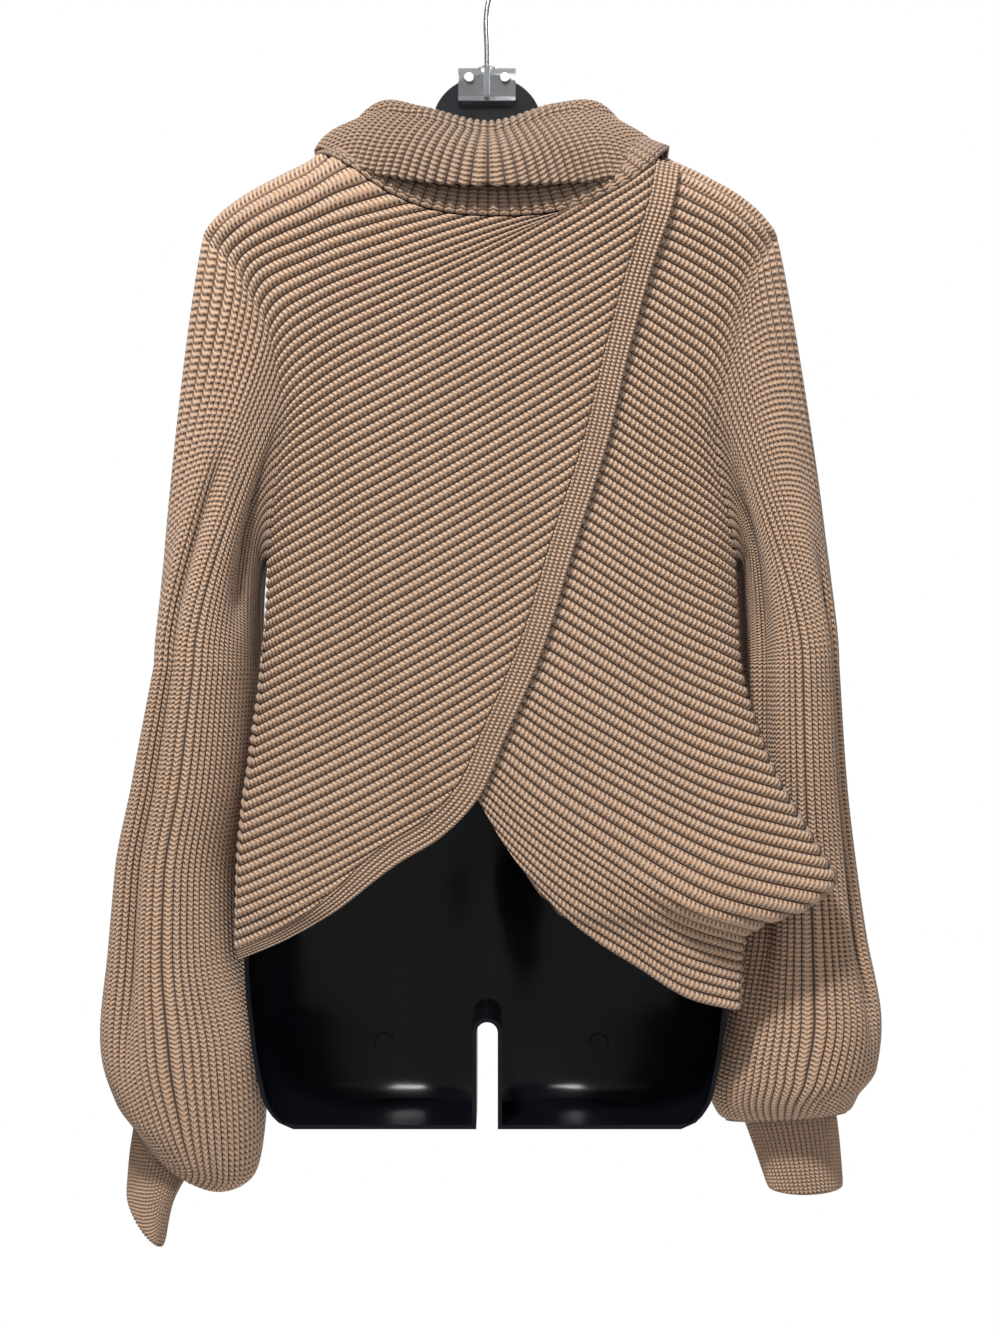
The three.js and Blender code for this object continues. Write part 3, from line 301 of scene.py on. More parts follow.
def far_point(c, z):
    c, z = np.broadcast_arrays(np.asarray(c, float), np.asarray(z, float))
    left = c < 0
    share = side_share(z, left)
    s = np.sin(np.minimum(1, np.abs(c) / share) * math.pi / 2) * np.where(left, -1, 1)
    side_y = BODY.side_y(z)
    x = mix(BODY.side_l(z), BODY.side_r(z), (1 + s) / 2)
    y = side_y + (BODY.far_y(z) - side_y) * bowed(s)
    t = np.clip((np.abs(c) - share) / np.maximum(1 - share, 1e-6), 0, 1)
    seam = np.where(left, BODY.seam_l(z), BODY.seam_r(z))
    out = np.abs(c) > share
    return stack(np.where(out, mix(x, seam, t), x), np.where(out, mix(side_y, BODY.seam_y(z), t), y), z)


def near_s(x, z):
    return np.clip(2 * (x - BODY.seam_l(z)) / (BODY.seam_r(z) - BODY.seam_l(z)) - 1, -1, 1)


def far_c(x, z):
    s = 2 * (x - BODY.side_l(z)) / (BODY.side_r(z) - BODY.side_l(z)) - 1
    return np.arcsin(np.clip(s, -1, 1)) * 2 / math.pi * side_share(z, np.asarray(x) < 0)


# The plain side's edge at height z, round the armhole and down the side seam
def plain_edge(z, sign):
    inset = (ARMHOLE.left if sign < 0 else ARMHOLE.right)(z)
    x = BODY.seam_l(z) + inset if sign < 0 else BODY.seam_r(z) - inset
    return np.where(inset <= 0, sign, far_c(x, z))


# An edge whose corners fade out with the distance from it; near is 1 on the edge and 0 far from it
def faded(edge, v, near):
    reach = np.minimum(0.09, np.minimum(v, 1 - v))
    shares = np.linspace(-1, 1, 13)
    weights = 1 - np.abs(shares) * 0.9
    around = [edge(v + share * reach) for share in shares]
    exact = edge(v)
    mean = [sum(w * a[k] for w, a in zip(weights, around)) / weights.sum() for k in range(2)]
    return [mean[k] + (exact[k] - mean[k]) * near ** 5 for k in range(2)]


# A panel's grid, filled in from its four edges
def coons(top, bottom, left, right):
    a, b, d, e = top(0.0), top(1.0), bottom(0.0), bottom(1.0)

    def grid(u, v):
        u, v = np.broadcast_arrays(np.asarray(u, float), np.asarray(v, float))
        t, s, l, r = faded(top, u, 1 - v), bottom(u), faded(left, v, 1 - u), faded(right, v, u)
        return [(1 - v) * t[k] + v * s[k] + (1 - u) * l[k] + u * r[k]
                - ((1 - u) * (1 - v) * a[k] + u * (1 - v) * b[k] + (1 - u) * v * d[k] + u * v * e[k])
                for k in range(2)]

    return grid


def arch(inward, v):
    rows = ease(v / 0.1) * ease((0.55 - v) / 0.35)
    return ARCH * rows * (1 - np.exp(-np.maximum(inward, 0) / 0.07)) * (1 - inward) ** 2


def band_inner(f):
    f = np.asarray(f, float)
    x, z = OVER_EDGE(f)
    xa, za = OVER_EDGE(np.maximum(0, f - 0.01))
    xb, zb = OVER_EDGE(np.minimum(1, f + 0.01))
    length = np.hypot(xb - xa, zb - za)
    width = mix(BAND_WIDTH, BAND_END_WIDTH, ease((f - 0.75) / 0.25))
    return x + (zb - za) / length * width, z - (xb - xa) / length * width


# Shares of an edge at which ribs meet it, walked down from the corner rib so that their pitch stays even
def even_ends(edge, side_end, first, last, pitch):
    step = 0.25
    ribs = np.arange(first, last + step / 2, step)
    shares = [0.0]
    for rib in ribs[:-1]:
        f = shares[-1]
        (xa, za), (xb, zb) = edge(max(0.0, f - 0.01)), edge(min(1.0, f + 0.01))
        along = np.array([xb - xa, zb - za])
        x, z = edge(f)
        side_x, side_z = side_end(rib)
        across = np.array([x - side_x, (z - side_z) * 1.15])
        sine = abs(along[0] * across[1] - along[1] * across[0])
        sine = sine / np.linalg.norm(along) / np.linalg.norm(across)
        whole = np.linalg.norm(along) / (min(1.0, f + 0.01) - max(0.0, f - 0.01))
        shares.append(min(0.985, f + float(pitch(rib)) * step / max(sine, 0.2) / whole))
    return lambda rib: np.interp(rib, ribs, shares)


def over_side(rib):
    z = OVER_ENDS.z(rib)
    return BODY.seam_l(z) + ARMHOLE.left(z), z


def under_side(rib):
    z = UNDER_ENDS.z(rib)
    return BODY.seam_r(z) - ARMHOLE.right(z), z


OVER_CORNER_RIB = OVER_NECK.rows[-1].rib
UNDER_CORNER_RIB = UNDER_NECK.rows[-1].rib
over_share = even_ends(band_inner, over_side, OVER_CORNER_RIB, OVER_RIBS, OVER_PITCH.mm)
under_share = even_ends(UNDER_EDGE, under_side, UNDER_CORNER_RIB, UNDER_RIBS, UNDER_PITCH.mm)


def make_over_grid():
    top_x, top_z = band_inner(0.0)

    def neck(f):
        x, z = NECKLINE(f * NECK_TO_BAND)
        pull = ease((f - 0.8) / 0.2)
        return mix(x, top_x, pull), mix(z, top_z, pull)

    def top(u):
        z = mix(SHOULDER.tip, SHOULDER.neck, np.asarray(u, float))
        return BODY.seam_l(z), z

    def bottom(u):
        return band_inner(mix(1, over_share(OVER_RIBS), np.asarray(u, float)))

    def left(v):
        side_x, side_z = over_side(v * OVER_RIBS)
        last = bottom(0.0)
        return np.where(v >= 1, last[0], side_x), np.where(v >= 1, last[1], side_z)

    def right(v):
        rib = v * OVER_RIBS
        on_neck, on_band = neck(OVER_NECK.f(rib)), band_inner(over_share(rib))
        return [np.where(rib <= OVER_CORNER_RIB, on_neck[k], on_band[k]) for k in range(2)]

    filled = coons(top, bottom, left, right)

    def grid(u, rib):
        x, z = filled(u, rib / OVER_RIBS)
        rise = faded(right, rib / OVER_RIBS, 0)[1] - OVER_ENDS.z(rib)
        return x, z - OVER_SAG.share(rib) * rise * u * (1 - u)

    return grid


def make_under_grid():
    def top(u):
        z = mix(SHOULDER.neck, SHOULDER.tip, np.asarray(u, float))
        return BODY.seam_r(z), z

    def bottom(u):
        u = np.asarray(u, float)
        x, z = UNDER_EDGE(mix(under_share(UNDER_RIBS), 1, u))
        return np.where(u >= 1, BODY.seam_r(HEM.right), x), np.where(u >= 1, HEM.right, z)

    def left(v):
        rib = v * UNDER_RIBS
        on_neck = NECKLINE(mix(1, NECK_TO_HIDDEN, UNDER_NECK.f(rib)))
        on_edge = UNDER_EDGE(under_share(rib))
        return [np.where(rib <= UNDER_CORNER_RIB, on_neck[k], on_edge[k]) for k in range(2)]

    def right(v):
        return under_side(v * UNDER_RIBS)

    filled = coons(top, bottom, left, right)

    def grid(u, rib):
        x, z = filled(u, rib / UNDER_RIBS)
        rise = faded(left, rib / UNDER_RIBS, 0)[1] - UNDER_ENDS.z(rib)
        return x, z - UNDER_SAG.share(rib) * rise * u * (1 - u)

    return grid


def far_neck(c):
    return SHOULDER.neck - FAR_NECK.dip * np.maximum(0, np.cos(c * math.pi / 2)) ** 0.7


def make_far_grid():
    def top(u):
        u = np.asarray(u, float)
        c = np.clip(mix(-1, 1, (u - FAR_NECK.start) / (1 - 2 * FAR_NECK.start)), -1, 1)
        seam = np.minimum(1, np.minimum(u, 1 - u) / FAR_NECK.start)
        on_seam = (u < FAR_NECK.start) | (u > 1 - FAR_NECK.start)
        return c, np.where(on_seam, mix(SHOULDER.tip, SHOULDER.neck, seam), far_neck(c))

    def bottom(u):
        c = mix(-1, 1, np.asarray(u, float))
        return c, mix(HEM.left, HEM.right, (1 + np.sin(c * math.pi / 2)) / 2)

    def left(v):
        return plain_edge(PLAIN_ENDS.left(v), -1), PLAIN_ENDS.left(v)

    def right(v):
        return plain_edge(PLAIN_ENDS.right(v), 1), PLAIN_ENDS.right(v)

    filled = coons(top, bottom, left, right)

    def grid(u, v):
        u, v = np.broadcast_arrays(np.asarray(u, float), np.asarray(v, float))
        share = mix((top(u)[0] + 1) / 2, u, ease(v / 0.12))
        return mix(left(v)[0], right(v)[0], share), filled(u, v)[1]

    return grid


over_grid, under_grid, far_grid = make_over_grid(), make_under_grid(), make_far_grid()


def over_lift(p):
    hidden = UNDER_EDGE(share_at_z(UNDER_EDGE, np.maximum(p[..., 2], -640)))[0]
    return LAYER * ease((p[..., 0] - hidden + LIFT_RAMP.start) / (LIFT_RAMP.start - LIFT_RAMP.full))


def over_surface(u, rib):
    x, z = over_grid(u, rib)
    z = z + arch(u, rib / OVER_RIBS)
    return near_point(near_s(x, z), z)


def under_surface(u, rib):
    x, z = under_grid(u, rib)
    z = z + arch(1 - u, rib / UNDER_RIBS)
    s = near_s(x, z)
    p = near_point(s, z)
    fall = np.where(rib < WING.rib, WING.above, WING.below)
    swell = WING.swell * bell(rib, WING.rib, fall) * ease((u - WING.start) / (WING.full - WING.start))
    p[..., 1] -= swell * (1 - np.abs(s) ** 60)
    return p


def far_surface(u, rib):
    return far_point(*far_grid(u, rib / PLAIN_RIBS))


def band_surface(u, v):
    xo, zo = OVER_EDGE(v)
    xi, zi = band_inner(v)
    x, z = mix(xi, xo, u), mix(zi, zo, u)
    return near_point(near_s(x, z), z)


def panel_normal(surface, facing, u, rib, ribs):
    step = 0.004
    du = surface(np.minimum(1, u + step), rib) - surface(np.maximum(0, u - step), rib)
    dv = surface(u, np.minimum(ribs, rib + step * ribs)) - surface(u, np.maximum(0, rib - step * ribs))
    normal = unit(np.cross(du, dv))
    p = surface(u, rib)
    toward = stack(p[..., 0], np.full(p.shape[:-1], facing * 120.0), 0.0)
    normal = np.where(dot(normal, toward) < 0, -normal, normal)
    seam = np.abs(p[..., 1] - BODY.seam_y(p[..., 2])) < SEAM_TOUCH
    normal[..., 1] = np.where(seam, 0, normal[..., 1])
    return unit(normal)


# One rib's section: shares across it, with the crest's height at each
RIB_SHARES = [0, 0.07, 0.17, 0.33, 0.5, 0.67, 0.83, 0.93]


def rib_height(share):
    across = np.abs((share % 1) * 2 - 1)
    return mix(RIB_RISE, -RIB_DEPTH, across ** 3.2)


def rib_rows(count, shares=RIB_SHARES, closed=False):
    rows = (np.arange(count)[:, None] + np.array(shares)[None, :]).ravel()
    return rows if closed else np.append(rows, count)


def smooth_normals(points, facing):
    du = np.gradient(points, axis=1)
    dv = np.gradient(points, axis=0)
    n = unit(np.cross(du, dv))
    return np.where(dot(n, facing) < 0, -n, n)


# A thin shell from a fine outer grid and an inner grid that keeps every ratio-th row
def shell(name, outer, inner, along, ribs, closed, ratio, material):
    rows, columns = outer.shape[:2]
    keep = np.arange(0, rows, ratio)
    if not closed and keep[-1] != rows - 1:
        keep = np.append(keep, rows - 1)
    fine = np.arange(rows * columns).reshape(rows, columns)
    coarse = rows * columns + np.arange(len(keep) * columns).reshape(len(keep), columns)
    points = np.concatenate([outer.reshape(-1, 3), inner[keep].reshape(-1, 3)]) * MM
    uv_fine = stack(along, ribs[:, None] + np.zeros(columns))
    uv = np.concatenate([uv_fine.reshape(-1, 2), uv_fine[keep].reshape(-1, 2)])
    faces = []
    uvs = []
    ribs_total = round(float(ribs[-1] + 0.5)) if closed else 0

    def quads(a, b, c, d, wrap=None):
        found = np.stack([a.ravel(), b.ravel(), c.ravel(), d.ravel()], axis=1)
        texture = uv[found]
        if wrap is not None:
            texture = texture.copy()
            for k in wrap:
                texture[:, k, 1] = ribs_total
        faces.extend(found.tolist())
        uvs.append(texture.reshape(-1, 2))

    quads(fine[:-1, :-1], fine[:-1, 1:], fine[1:, 1:], fine[1:, :-1])
    quads(coarse[:-1, 1:], coarse[:-1, :-1], coarse[1:, :-1], coarse[1:, 1:])
    if closed:
        quads(fine[-1:, :-1], fine[-1:, 1:], fine[:1, 1:], fine[:1, :-1], wrap=(2, 3))
        quads(coarse[-1:, 1:], coarse[-1:, :-1], coarse[:1, :-1], coarse[:1, 1:], wrap=(2, 3))
    else:
        quads(coarse[:1, :-1], coarse[:1, 1:], fine[:1, 1:], fine[:1, :-1])
        quads(fine[-1:, :-1], fine[-1:, 1:], coarse[-1:, 1:], coarse[-1:, :-1])
    # the two end edges, where one coarse step meets several fine ones
    spans = [(keep[k], keep[k + 1], k, k + 1) for k in range(len(keep) - 1)]
    if closed:
        spans.append((keep[-1], rows, len(keep) - 1, 0))
    for first, last, here, following in spans:
        for column, flip in ((0, False), (columns - 1, True)):
            fan = [int(fine[m % rows, column]) for m in range(first, last + 1)]
            ring = [int(coarse[here, column])] + fan + [int(coarse[following, column])]
            if flip:
                ring = ring[::-1]
            faces.append(ring[::-1])
            uvs.append(uv[ring[::-1]])
    mesh = bpy.data.meshes.new(name)
    mesh.from_pydata(points.tolist(), [], faces)
    layer = mesh.uv_layers.new(name="knit")
    layer.data.foreach_set("uv", np.concatenate(uvs).astype(np.float32).ravel())
    mesh.shade_smooth()
    mesh.materials.append(material)
    piece = bpy.data.objects.new(name, mesh)
    bpy.context.scene.collection.objects.link(piece)
    # faces turned out as one
    bpy.context.view_layer.objects.active = piece
    piece.select_set(True)
    bpy.ops.object.mode_set(mode="EDIT")
    bpy.ops.mesh.select_all(action="SELECT")
    bpy.ops.mesh.normals_make_consistent(inside=False)
    bpy.ops.object.mode_set(mode="OBJECT")
    piece.select_set(False)
    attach(piece, "root")
    return piece


def lengths(points):
    steps = np.linalg.norm(np.diff(points, axis=1), axis=-1)
    return np.concatenate([np.zeros((points.shape[0], 1)), np.cumsum(steps, axis=1)], axis=1)


# Lengths along the ribs, counted from the panel's middle, so that the stitches of two ribs stay level
def level_lengths(points, slant):
    run = lengths(points)
    middle = points.shape[1] // 2
    angle = math.radians(slant)
    level = points[:, middle, 0] * math.cos(angle) + points[:, middle, 2] * math.sin(angle)
    return run - run[:, middle:middle + 1] + level[:, None]


# Shares along the ribs, closer together next to a side seam, where the cloth turns
def toward_seam(columns, seam):
    t = np.linspace(0, 1, columns)
    if seam == "both":
        return t
    return t * (t + 0.3) / 1.3 if seam == "start" else 1 - (1 - t) * (1.3 - t) / 1.3


def panel(name, surface, ribs_total, facing, seam, columns, slant, material, lift=None):
    ribs = rib_rows(ribs_total)
    u, rib = np.broadcast_arrays(toward_seam(columns, seam)[None, :], ribs[:, None])
    p = surface(u, rib)
    n = panel_normal(surface, facing, u, rib, ribs_total)
    out = lift(p) if lift else np.zeros(p.shape[:-1])
    height = rib_height(ribs)[:, None]
    outer = p + n * (out + height)[..., None]
    inner = p + n * (out - BACK)[..., None]
    return shell(name, outer, inner, level_lengths(p, slant), ribs, False, 4, material)


def lowness(turn):
    return 1 - np.abs(2 * turn - 1)


# The armhole's points, normals and ways out, at shares t round it
def armhole(sign, t):
    turn = t - np.floor(t)
    near_side = (turn <= 0.5)

    def at(inward, turn_at):
        rib = ARM_RIBS * lowness(turn_at)
        u = inward + np.zeros_like(rib)
        near = over_surface(u, rib) if sign < 0 else under_surface(1 - u, rib)
        far = far_surface(u, rib) if sign < 0 else far_surface(1 - u, rib)
        return near, far

    def pick(pair, where):
        return np.where(where[..., None], pair[0], pair[1])

    p = pick(at(0.0, turn), near_side)
    step = 0.01
    ahead, behind = (t + step) % 1, (t - step) % 1
    along = unit(pick(at(0.0, ahead), ahead <= 0.5) - pick(at(0.0, behind), behind <= 0.5))
    along = np.where(along[..., 2:] > 0, -along, along)
    rib = unit(p - pick(at(0.02, turn), near_side))
    row = ARM_RIBS * lowness(turn)
    if sign < 0:
        near_n = panel_normal(over_surface, -1, 0 * row, row, OVER_RIBS)
    else:
        near_n = panel_normal(under_surface, -1, 0 * row + 1, row, UNDER_RIBS)
    far_n = panel_normal(far_surface, 1, 0 * row + (0 if sign < 0 else 1), row, PLAIN_RIBS)
    normal = pick((near_n, far_n), near_side)
    on_seam = (np.abs(p[..., 1] - BODY.seam_y(p[..., 2])) < SEAM_TOUCH)[..., None]
    out = unit(rib - along * dot(rib, along))
    out = np.where(on_seam, unit(np.array([sign, 0, -0.7])), out)
    low = lowness(turn)[..., None]
    out = unit(mix(out, np.array([sign * 0.93, 0, 0.37]), ease((low - 0.75) / 0.15)))
    shoulder = bell(turn, np.where(turn > 0.5, 1, 0), 0.045)[..., None]
    way = unit(mix(unit(rib + along * 0.9), np.array([sign * 0.25, 0, -0.97]), shoulder))
    return p, normal, way, out


def ring_point(rings, s, t, power):
    def shaped(x):
        return np.sign(x) * np.abs(x) ** (2 / power)

    c, w = shaped(np.cos(t * 2 * math.pi)), shaped(np.sin(t * 2 * math.pi))
    return stack(rings.cx(s) + rings.ux(s) * c + rings.wx(s) * w, rings.cy(s) + rings.wy(s) * w,
                 rings.cz(s) + rings.uz(s) * c + rings.wz(s) * w)


def sleeve_power(s):
    return mix(SLEEVE_POWER, 2, ease((s - 0.7) / 0.3))


def sleeve_surface(sign, rings, folds, s, t):
    s, t = np.broadcast_arrays(s, t)
    turn = t - np.floor(t)
    fold = np.zeros(s.shape)
    for f in folds.rows:
        fold += f.depth * ease((s - f.start) / 0.3) * ease((f.end - s) / 0.3) * bell(turn, f.t, f.width)
    ring = np.maximum(0, s - 1)
    p = ring_point(rings, ring, turn, sleeve_power(ring))
    start_p, _, way, out = armhole(sign, t[:, 0])
    start_p, way, out = start_p[:, None, :], way[:, None, :], out[:, None, :]
    target = ring_point(rings, np.zeros(t[:, 0].shape), turn[:, 0], SLEEVE_POWER)[:, None, :]
    reach = np.linalg.norm(target - start_p, axis=-1, keepdims=True)
    low = lowness(turn[:, :1])[..., None]
    under = bell(turn[:, :1], 0.5, UNDERARM.width)[..., None]
    begin = np.where(turn[:, :1] > 0.5, 0, UNDERARM.push_from)[..., None]
    push = UNDERARM.push * ease((low - begin) / (UNDERARM.push_full - UNDERARM.push_from))
    leave = (way * reach * 0.35 + out * push) * (1 - under) \
        + np.array([sign * UNDERARM.reach, 0, UNDERARM.rise]) * under
    arrive = np.concatenate([0 * reach, 0 * reach, -reach * 0.8], axis=-1)
    x = np.minimum(s, 1)[..., None]
    up = x * x * (3 - 2 * x)
    upper = start_p * (1 - up) + target * up + leave * x * (1 - x) ** 2 - arrive * x * x * (1 - x)
    p = np.where((s < 1)[..., None], upper, p)
    centre = stack(rings.cx(ring), rings.cy(ring), p[..., 2])
    return p + unit(centre - p) * fold[..., None]


def sleeve(name, sign, rings, folds, material):
    ribs = rib_rows(2 * ARM_RIBS, closed=True)
    t = (ribs / (2 * ARM_RIBS))[:, None]
    upper, lower, gathered = np.linspace(0, 1, 52), np.linspace(1, 1.84, 44), np.linspace(1.84, 2, 22)
    s = np.concatenate([upper[:-1], lower[:-1], gathered])[None, :]
    p = sleeve_surface(sign, rings, folds, s, t)
    wrapped = np.concatenate([p[-3:], p, p[:3]])
    middle = p.mean(axis=0, keepdims=True)
    facing = np.concatenate([p[-3:] - middle, p - middle, p[:3] - middle])
    n = smooth_normals(wrapped, facing)[3:-3]
    _, panel_n, _, _ = armhole(sign, t[:, 0])
    own = ease((lowness(t[:, 0]) - 0.2) / 0.4)[:, None, None]
    start = unit(mix(panel_n[:, None, :], n, own))
    blend = ease(1 - s / 0.12)[..., None]
    n = unit(mix(n, start, blend))
    height = rib_height(ribs)[:, None]
    gather = mix(1, 0.6, ease((s - 1.86) / 0.14))
    outer = p + n * (height * gather)[..., None]
    inner = p - n * BACK
    along = lengths(p).mean(axis=0, keepdims=True) + np.zeros((len(ribs), 1))
    return shell(name, outer, inner, along, ribs, True, 4, material)


def ring_normal(rings, s, t):
    centre = stack(rings.cx(s), rings.cy(s), rings.cz(s))
    along = ring_point(rings, s, t + 0.01, 2) - ring_point(rings, s, t - 0.01, 2)
    plane = np.cross(stack(rings.ux(s), 0 * s, rings.uz(s)), stack(rings.wx(s), rings.wy(s), rings.wz(s)))
    n = unit(np.cross(along, plane))
    return np.where(dot(n, ring_point(rings, s, t, 2) - centre) < 0, -n, n)


def cuff(name, rings, material):
    ribs = rib_rows(CUFF_RIBS, [0, 0.25, 0.5, 0.75], closed=True)
    t, s = np.broadcast_arrays((ribs / CUFF_RIBS)[:, None], np.linspace(0, 1, 26)[None, :])
    n = ring_normal(rings, s, t)
    p = ring_point(rings, s, t, 2) - n * (CUFF_TUCK * (1 - s))[..., None]
    height = (CUFF_RELIEF * np.cos((ribs - 0.5) * 2 * math.pi))[:, None]
    end = 0.5 * ease((s - 0.93) / 0.07)
    outer = p + n * (height - end)[..., None]
    inner = p - n * CUFF_BACK
    return shell(name, outer, inner, lengths(p), ribs, True, 2, material)


# The neckline all round, each point with its angle from 180 degrees on
def neck_loop():
    steps = NECK_ROUND.steps
    f = np.arange(steps) / steps
    x_near, z_near = NECKLINE(f)
    c_far = np.linspace(1, -1, steps + 1)
    z_far = far_neck(c_far)

    def on_skin(section, facing, c, z, lift):
        def patch(u, v):
            return section(mix(-1, 1, u), z - 10 + 20 * v)

        p = section(c, z)
        n = panel_normal(patch, facing, (c + 1) / 2, 0.5 + 0 * c, 1)
        return p + n * lift(p)[..., None]

    near = on_skin(near_point, -1, near_s(x_near, z_near), z_near, over_lift)
    far = on_skin(far_point, 1, c_far, z_far, lambda p: np.zeros(len(p)))
    points = np.concatenate([near, far])
    across = (points[:, 0] - COLLAR_CENTRE.x) / NECK_ROUND.half_x
    deep = (points[:, 1] - COLLAR_CENTRE.y) / NECK_ROUND.half_y
    angle = np.degrees(np.arctan2(deep, across))
    angle[:steps] %= 360
    angle[steps:] += 360
    angle[0], angle[steps], angle[-1] = 180, 360, 540
    return points, angle


def collar_surface(u, t):
    points, angle = neck_loop()
    deg = t * 360
    turned = np.where(deg < 180, deg + 360, deg)
    neck = stack(*[np.interp(turned, angle, points[:, k]) for k in range(3)])
    neck[..., 2] += 1.0
    fold_z, edge_z = COLLAR.fold_z(deg), COLLAR.edge_z(deg)
    a = np.radians(deg)

    def oval(shape, grow, z):
        def shaped(x):
            return np.sign(x) * np.abs(x) ** (2 / shape.power)

        c, s = shaped(np.cos(a)), shaped(np.sin(a))
        half_y = np.where(s < 0, shape.near_y, shape.far_y)
        return stack(COLLAR_CENTRE.x + (shape.half_x + grow) * c, COLLAR_CENTRE.y + (half_y + grow) * s, z)

    radius = COLLAR_FOLD.radius
    inner = oval(COLLAR_FOLD, -radius, fold_z - radius)
    outer = oval(COLLAR_FOLD, radius, fold_z - radius)
    edge = oval(COLLAR_EDGE, 0, edge_z)
    stand = mix(neck, inner, np.clip(u / STAND_SHARE, 0, 1)[..., None])
    turn = np.clip((u - STAND_SHARE) / (FALL_SHARE - STAND_SHARE), 0, 1) * math.pi
    top = mix(inner, outer, ((1 - np.cos(turn)) / 2)[..., None])
    top[..., 2] += radius * np.sin(turn)
    share = np.clip((u - FALL_SHARE) / (1 - FALL_SHARE), 0, 1)
    bow = FALL_BOW * np.sin(share * math.pi)
    fall = mix(outer, edge, share[..., None]) + stack(np.cos(a) * bow, np.sin(a) * bow, bow * 0.5)
    return np.where((u < STAND_SHARE)[..., None], stand, np.where((u <= FALL_SHARE)[..., None], top, fall))


def collar(name, material):
    ribs = rib_rows(COLLAR_RIBS, closed=True)
    stand, turn = np.linspace(0, STAND_SHARE, 12), np.linspace(STAND_SHARE, FALL_SHARE, 15)
    u = np.concatenate([stand[:-1], turn[:-1], np.linspace(FALL_SHARE, 1, 24)])
    t, u = np.broadcast_arrays((ribs / COLLAR_RIBS)[:, None], u[None, :])
    p = collar_surface(u, t)
    # the free edge dips between its ribs
    p[..., 2] += (RIB_RISE - rib_height(ribs)[:, None]) * 0.5 * ease((u - 0.94) / 0.06)
    inward = stack(COLLAR_CENTRE.x - p[..., 0], COLLAR_CENTRE.y - p[..., 1], 0)
    facing = np.where((u < 0.5)[..., None], inward, -inward)
    facing = np.where((np.abs(u - 0.5) < 0.04)[..., None], np.array([0.0, 0.0, 1.0]), facing)
    wrapped = np.concatenate([p[-3:], p, p[:3]])
    n = smooth_normals(wrapped, np.concatenate([facing[-3:], facing, facing[:3]]))[3:-3]
    height = rib_height(ribs)[:, None] * mix(0.35, 1, ease((u - 0.3) / 0.2))
    outer = p + n * height[..., None]
    inner = p - n * BACK
    return shell(name, outer, inner, lengths(p), ribs, True, 4, material)


def band(name, material):
    wales = rib_rows(BAND_WALES, [0, 0.12, 0.3, 0.5, 0.7, 0.88])
    v, u = np.broadcast_arrays(np.linspace(0, 1, BAND_ROWS)[None, :], (wales / BAND_WALES)[:, None])
    p = band_surface(u, v)
    n = panel_normal(band_surface, -1, u, v, 1)
    height = (BAND_RELIEF * np.cos((wales - 0.5) * 2 * math.pi))[:, None]
    out = over_lift(p)
    outer = p + n * (out + height)[..., None]
    inner = p + n * (out - BAND_BACK)[..., None]
    return shell(name, outer, inner, lengths(p), wales, False, 3, material)


# Materials
def nodes_of(name):
    material = bpy.data.materials.new(name)
    material.use_nodes = True
    tree = material.node_tree
    return material, tree, tree.nodes["Principled BSDF"]


def maths(tree, operation, a, b=None):
    node = tree.nodes.new("ShaderNodeMath")
    node.operation = operation
    for socket, value in zip(node.inputs, (a, b)):
        if value is None:
            continue
        if isinstance(value, (int, float)):
            socket.default_value = value
        else:
            tree.links.new(value, socket)
    return node.outputs[0]


def ramp(tree, value, low, high):
    node = tree.nodes.new("ShaderNodeMapRange")
    node.interpolation_type = "SMOOTHSTEP"
    node.inputs["From Min"].default_value = low
    node.inputs["From Max"].default_value = high
    tree.links.new(value, node.inputs["Value"])
    return node.outputs["Result"]


def colour_mix(tree, factor, a, b):
    node = tree.nodes.new("ShaderNodeMix")
    node.data_type = "RGBA"
    tree.links.new(factor, node.inputs["Factor"])
    for socket, value in ((node.inputs[6], a), (node.inputs[7], b)):
        if isinstance(value, tuple):
            socket.default_value = value
        else:
            tree.links.new(value, socket)
    return node.outputs[2]


def noise(tree, coordinate, scale, detail=2):
    node = tree.nodes.new("ShaderNodeTexNoise")
    node.inputs["Scale"].default_value = scale
    node.inputs["Detail"].default_value = detail
    tree.links.new(coordinate, node.inputs["Vector"])
    return node.outputs["Fac"]


# the knit's colours: a crest colour painted light on the stitch crests, the middle tone between them, and a
# dark colour that is painted shade in the grooves and small holes
KNIT_LIT_CREST = (0.46, 0.307, 0.208, 1)
KNIT_MIDDLE = (0.33, 0.21, 0.138, 1)
KNIT_PAINTED_SHADE = (0.045, 0.025, 0.016, 1)
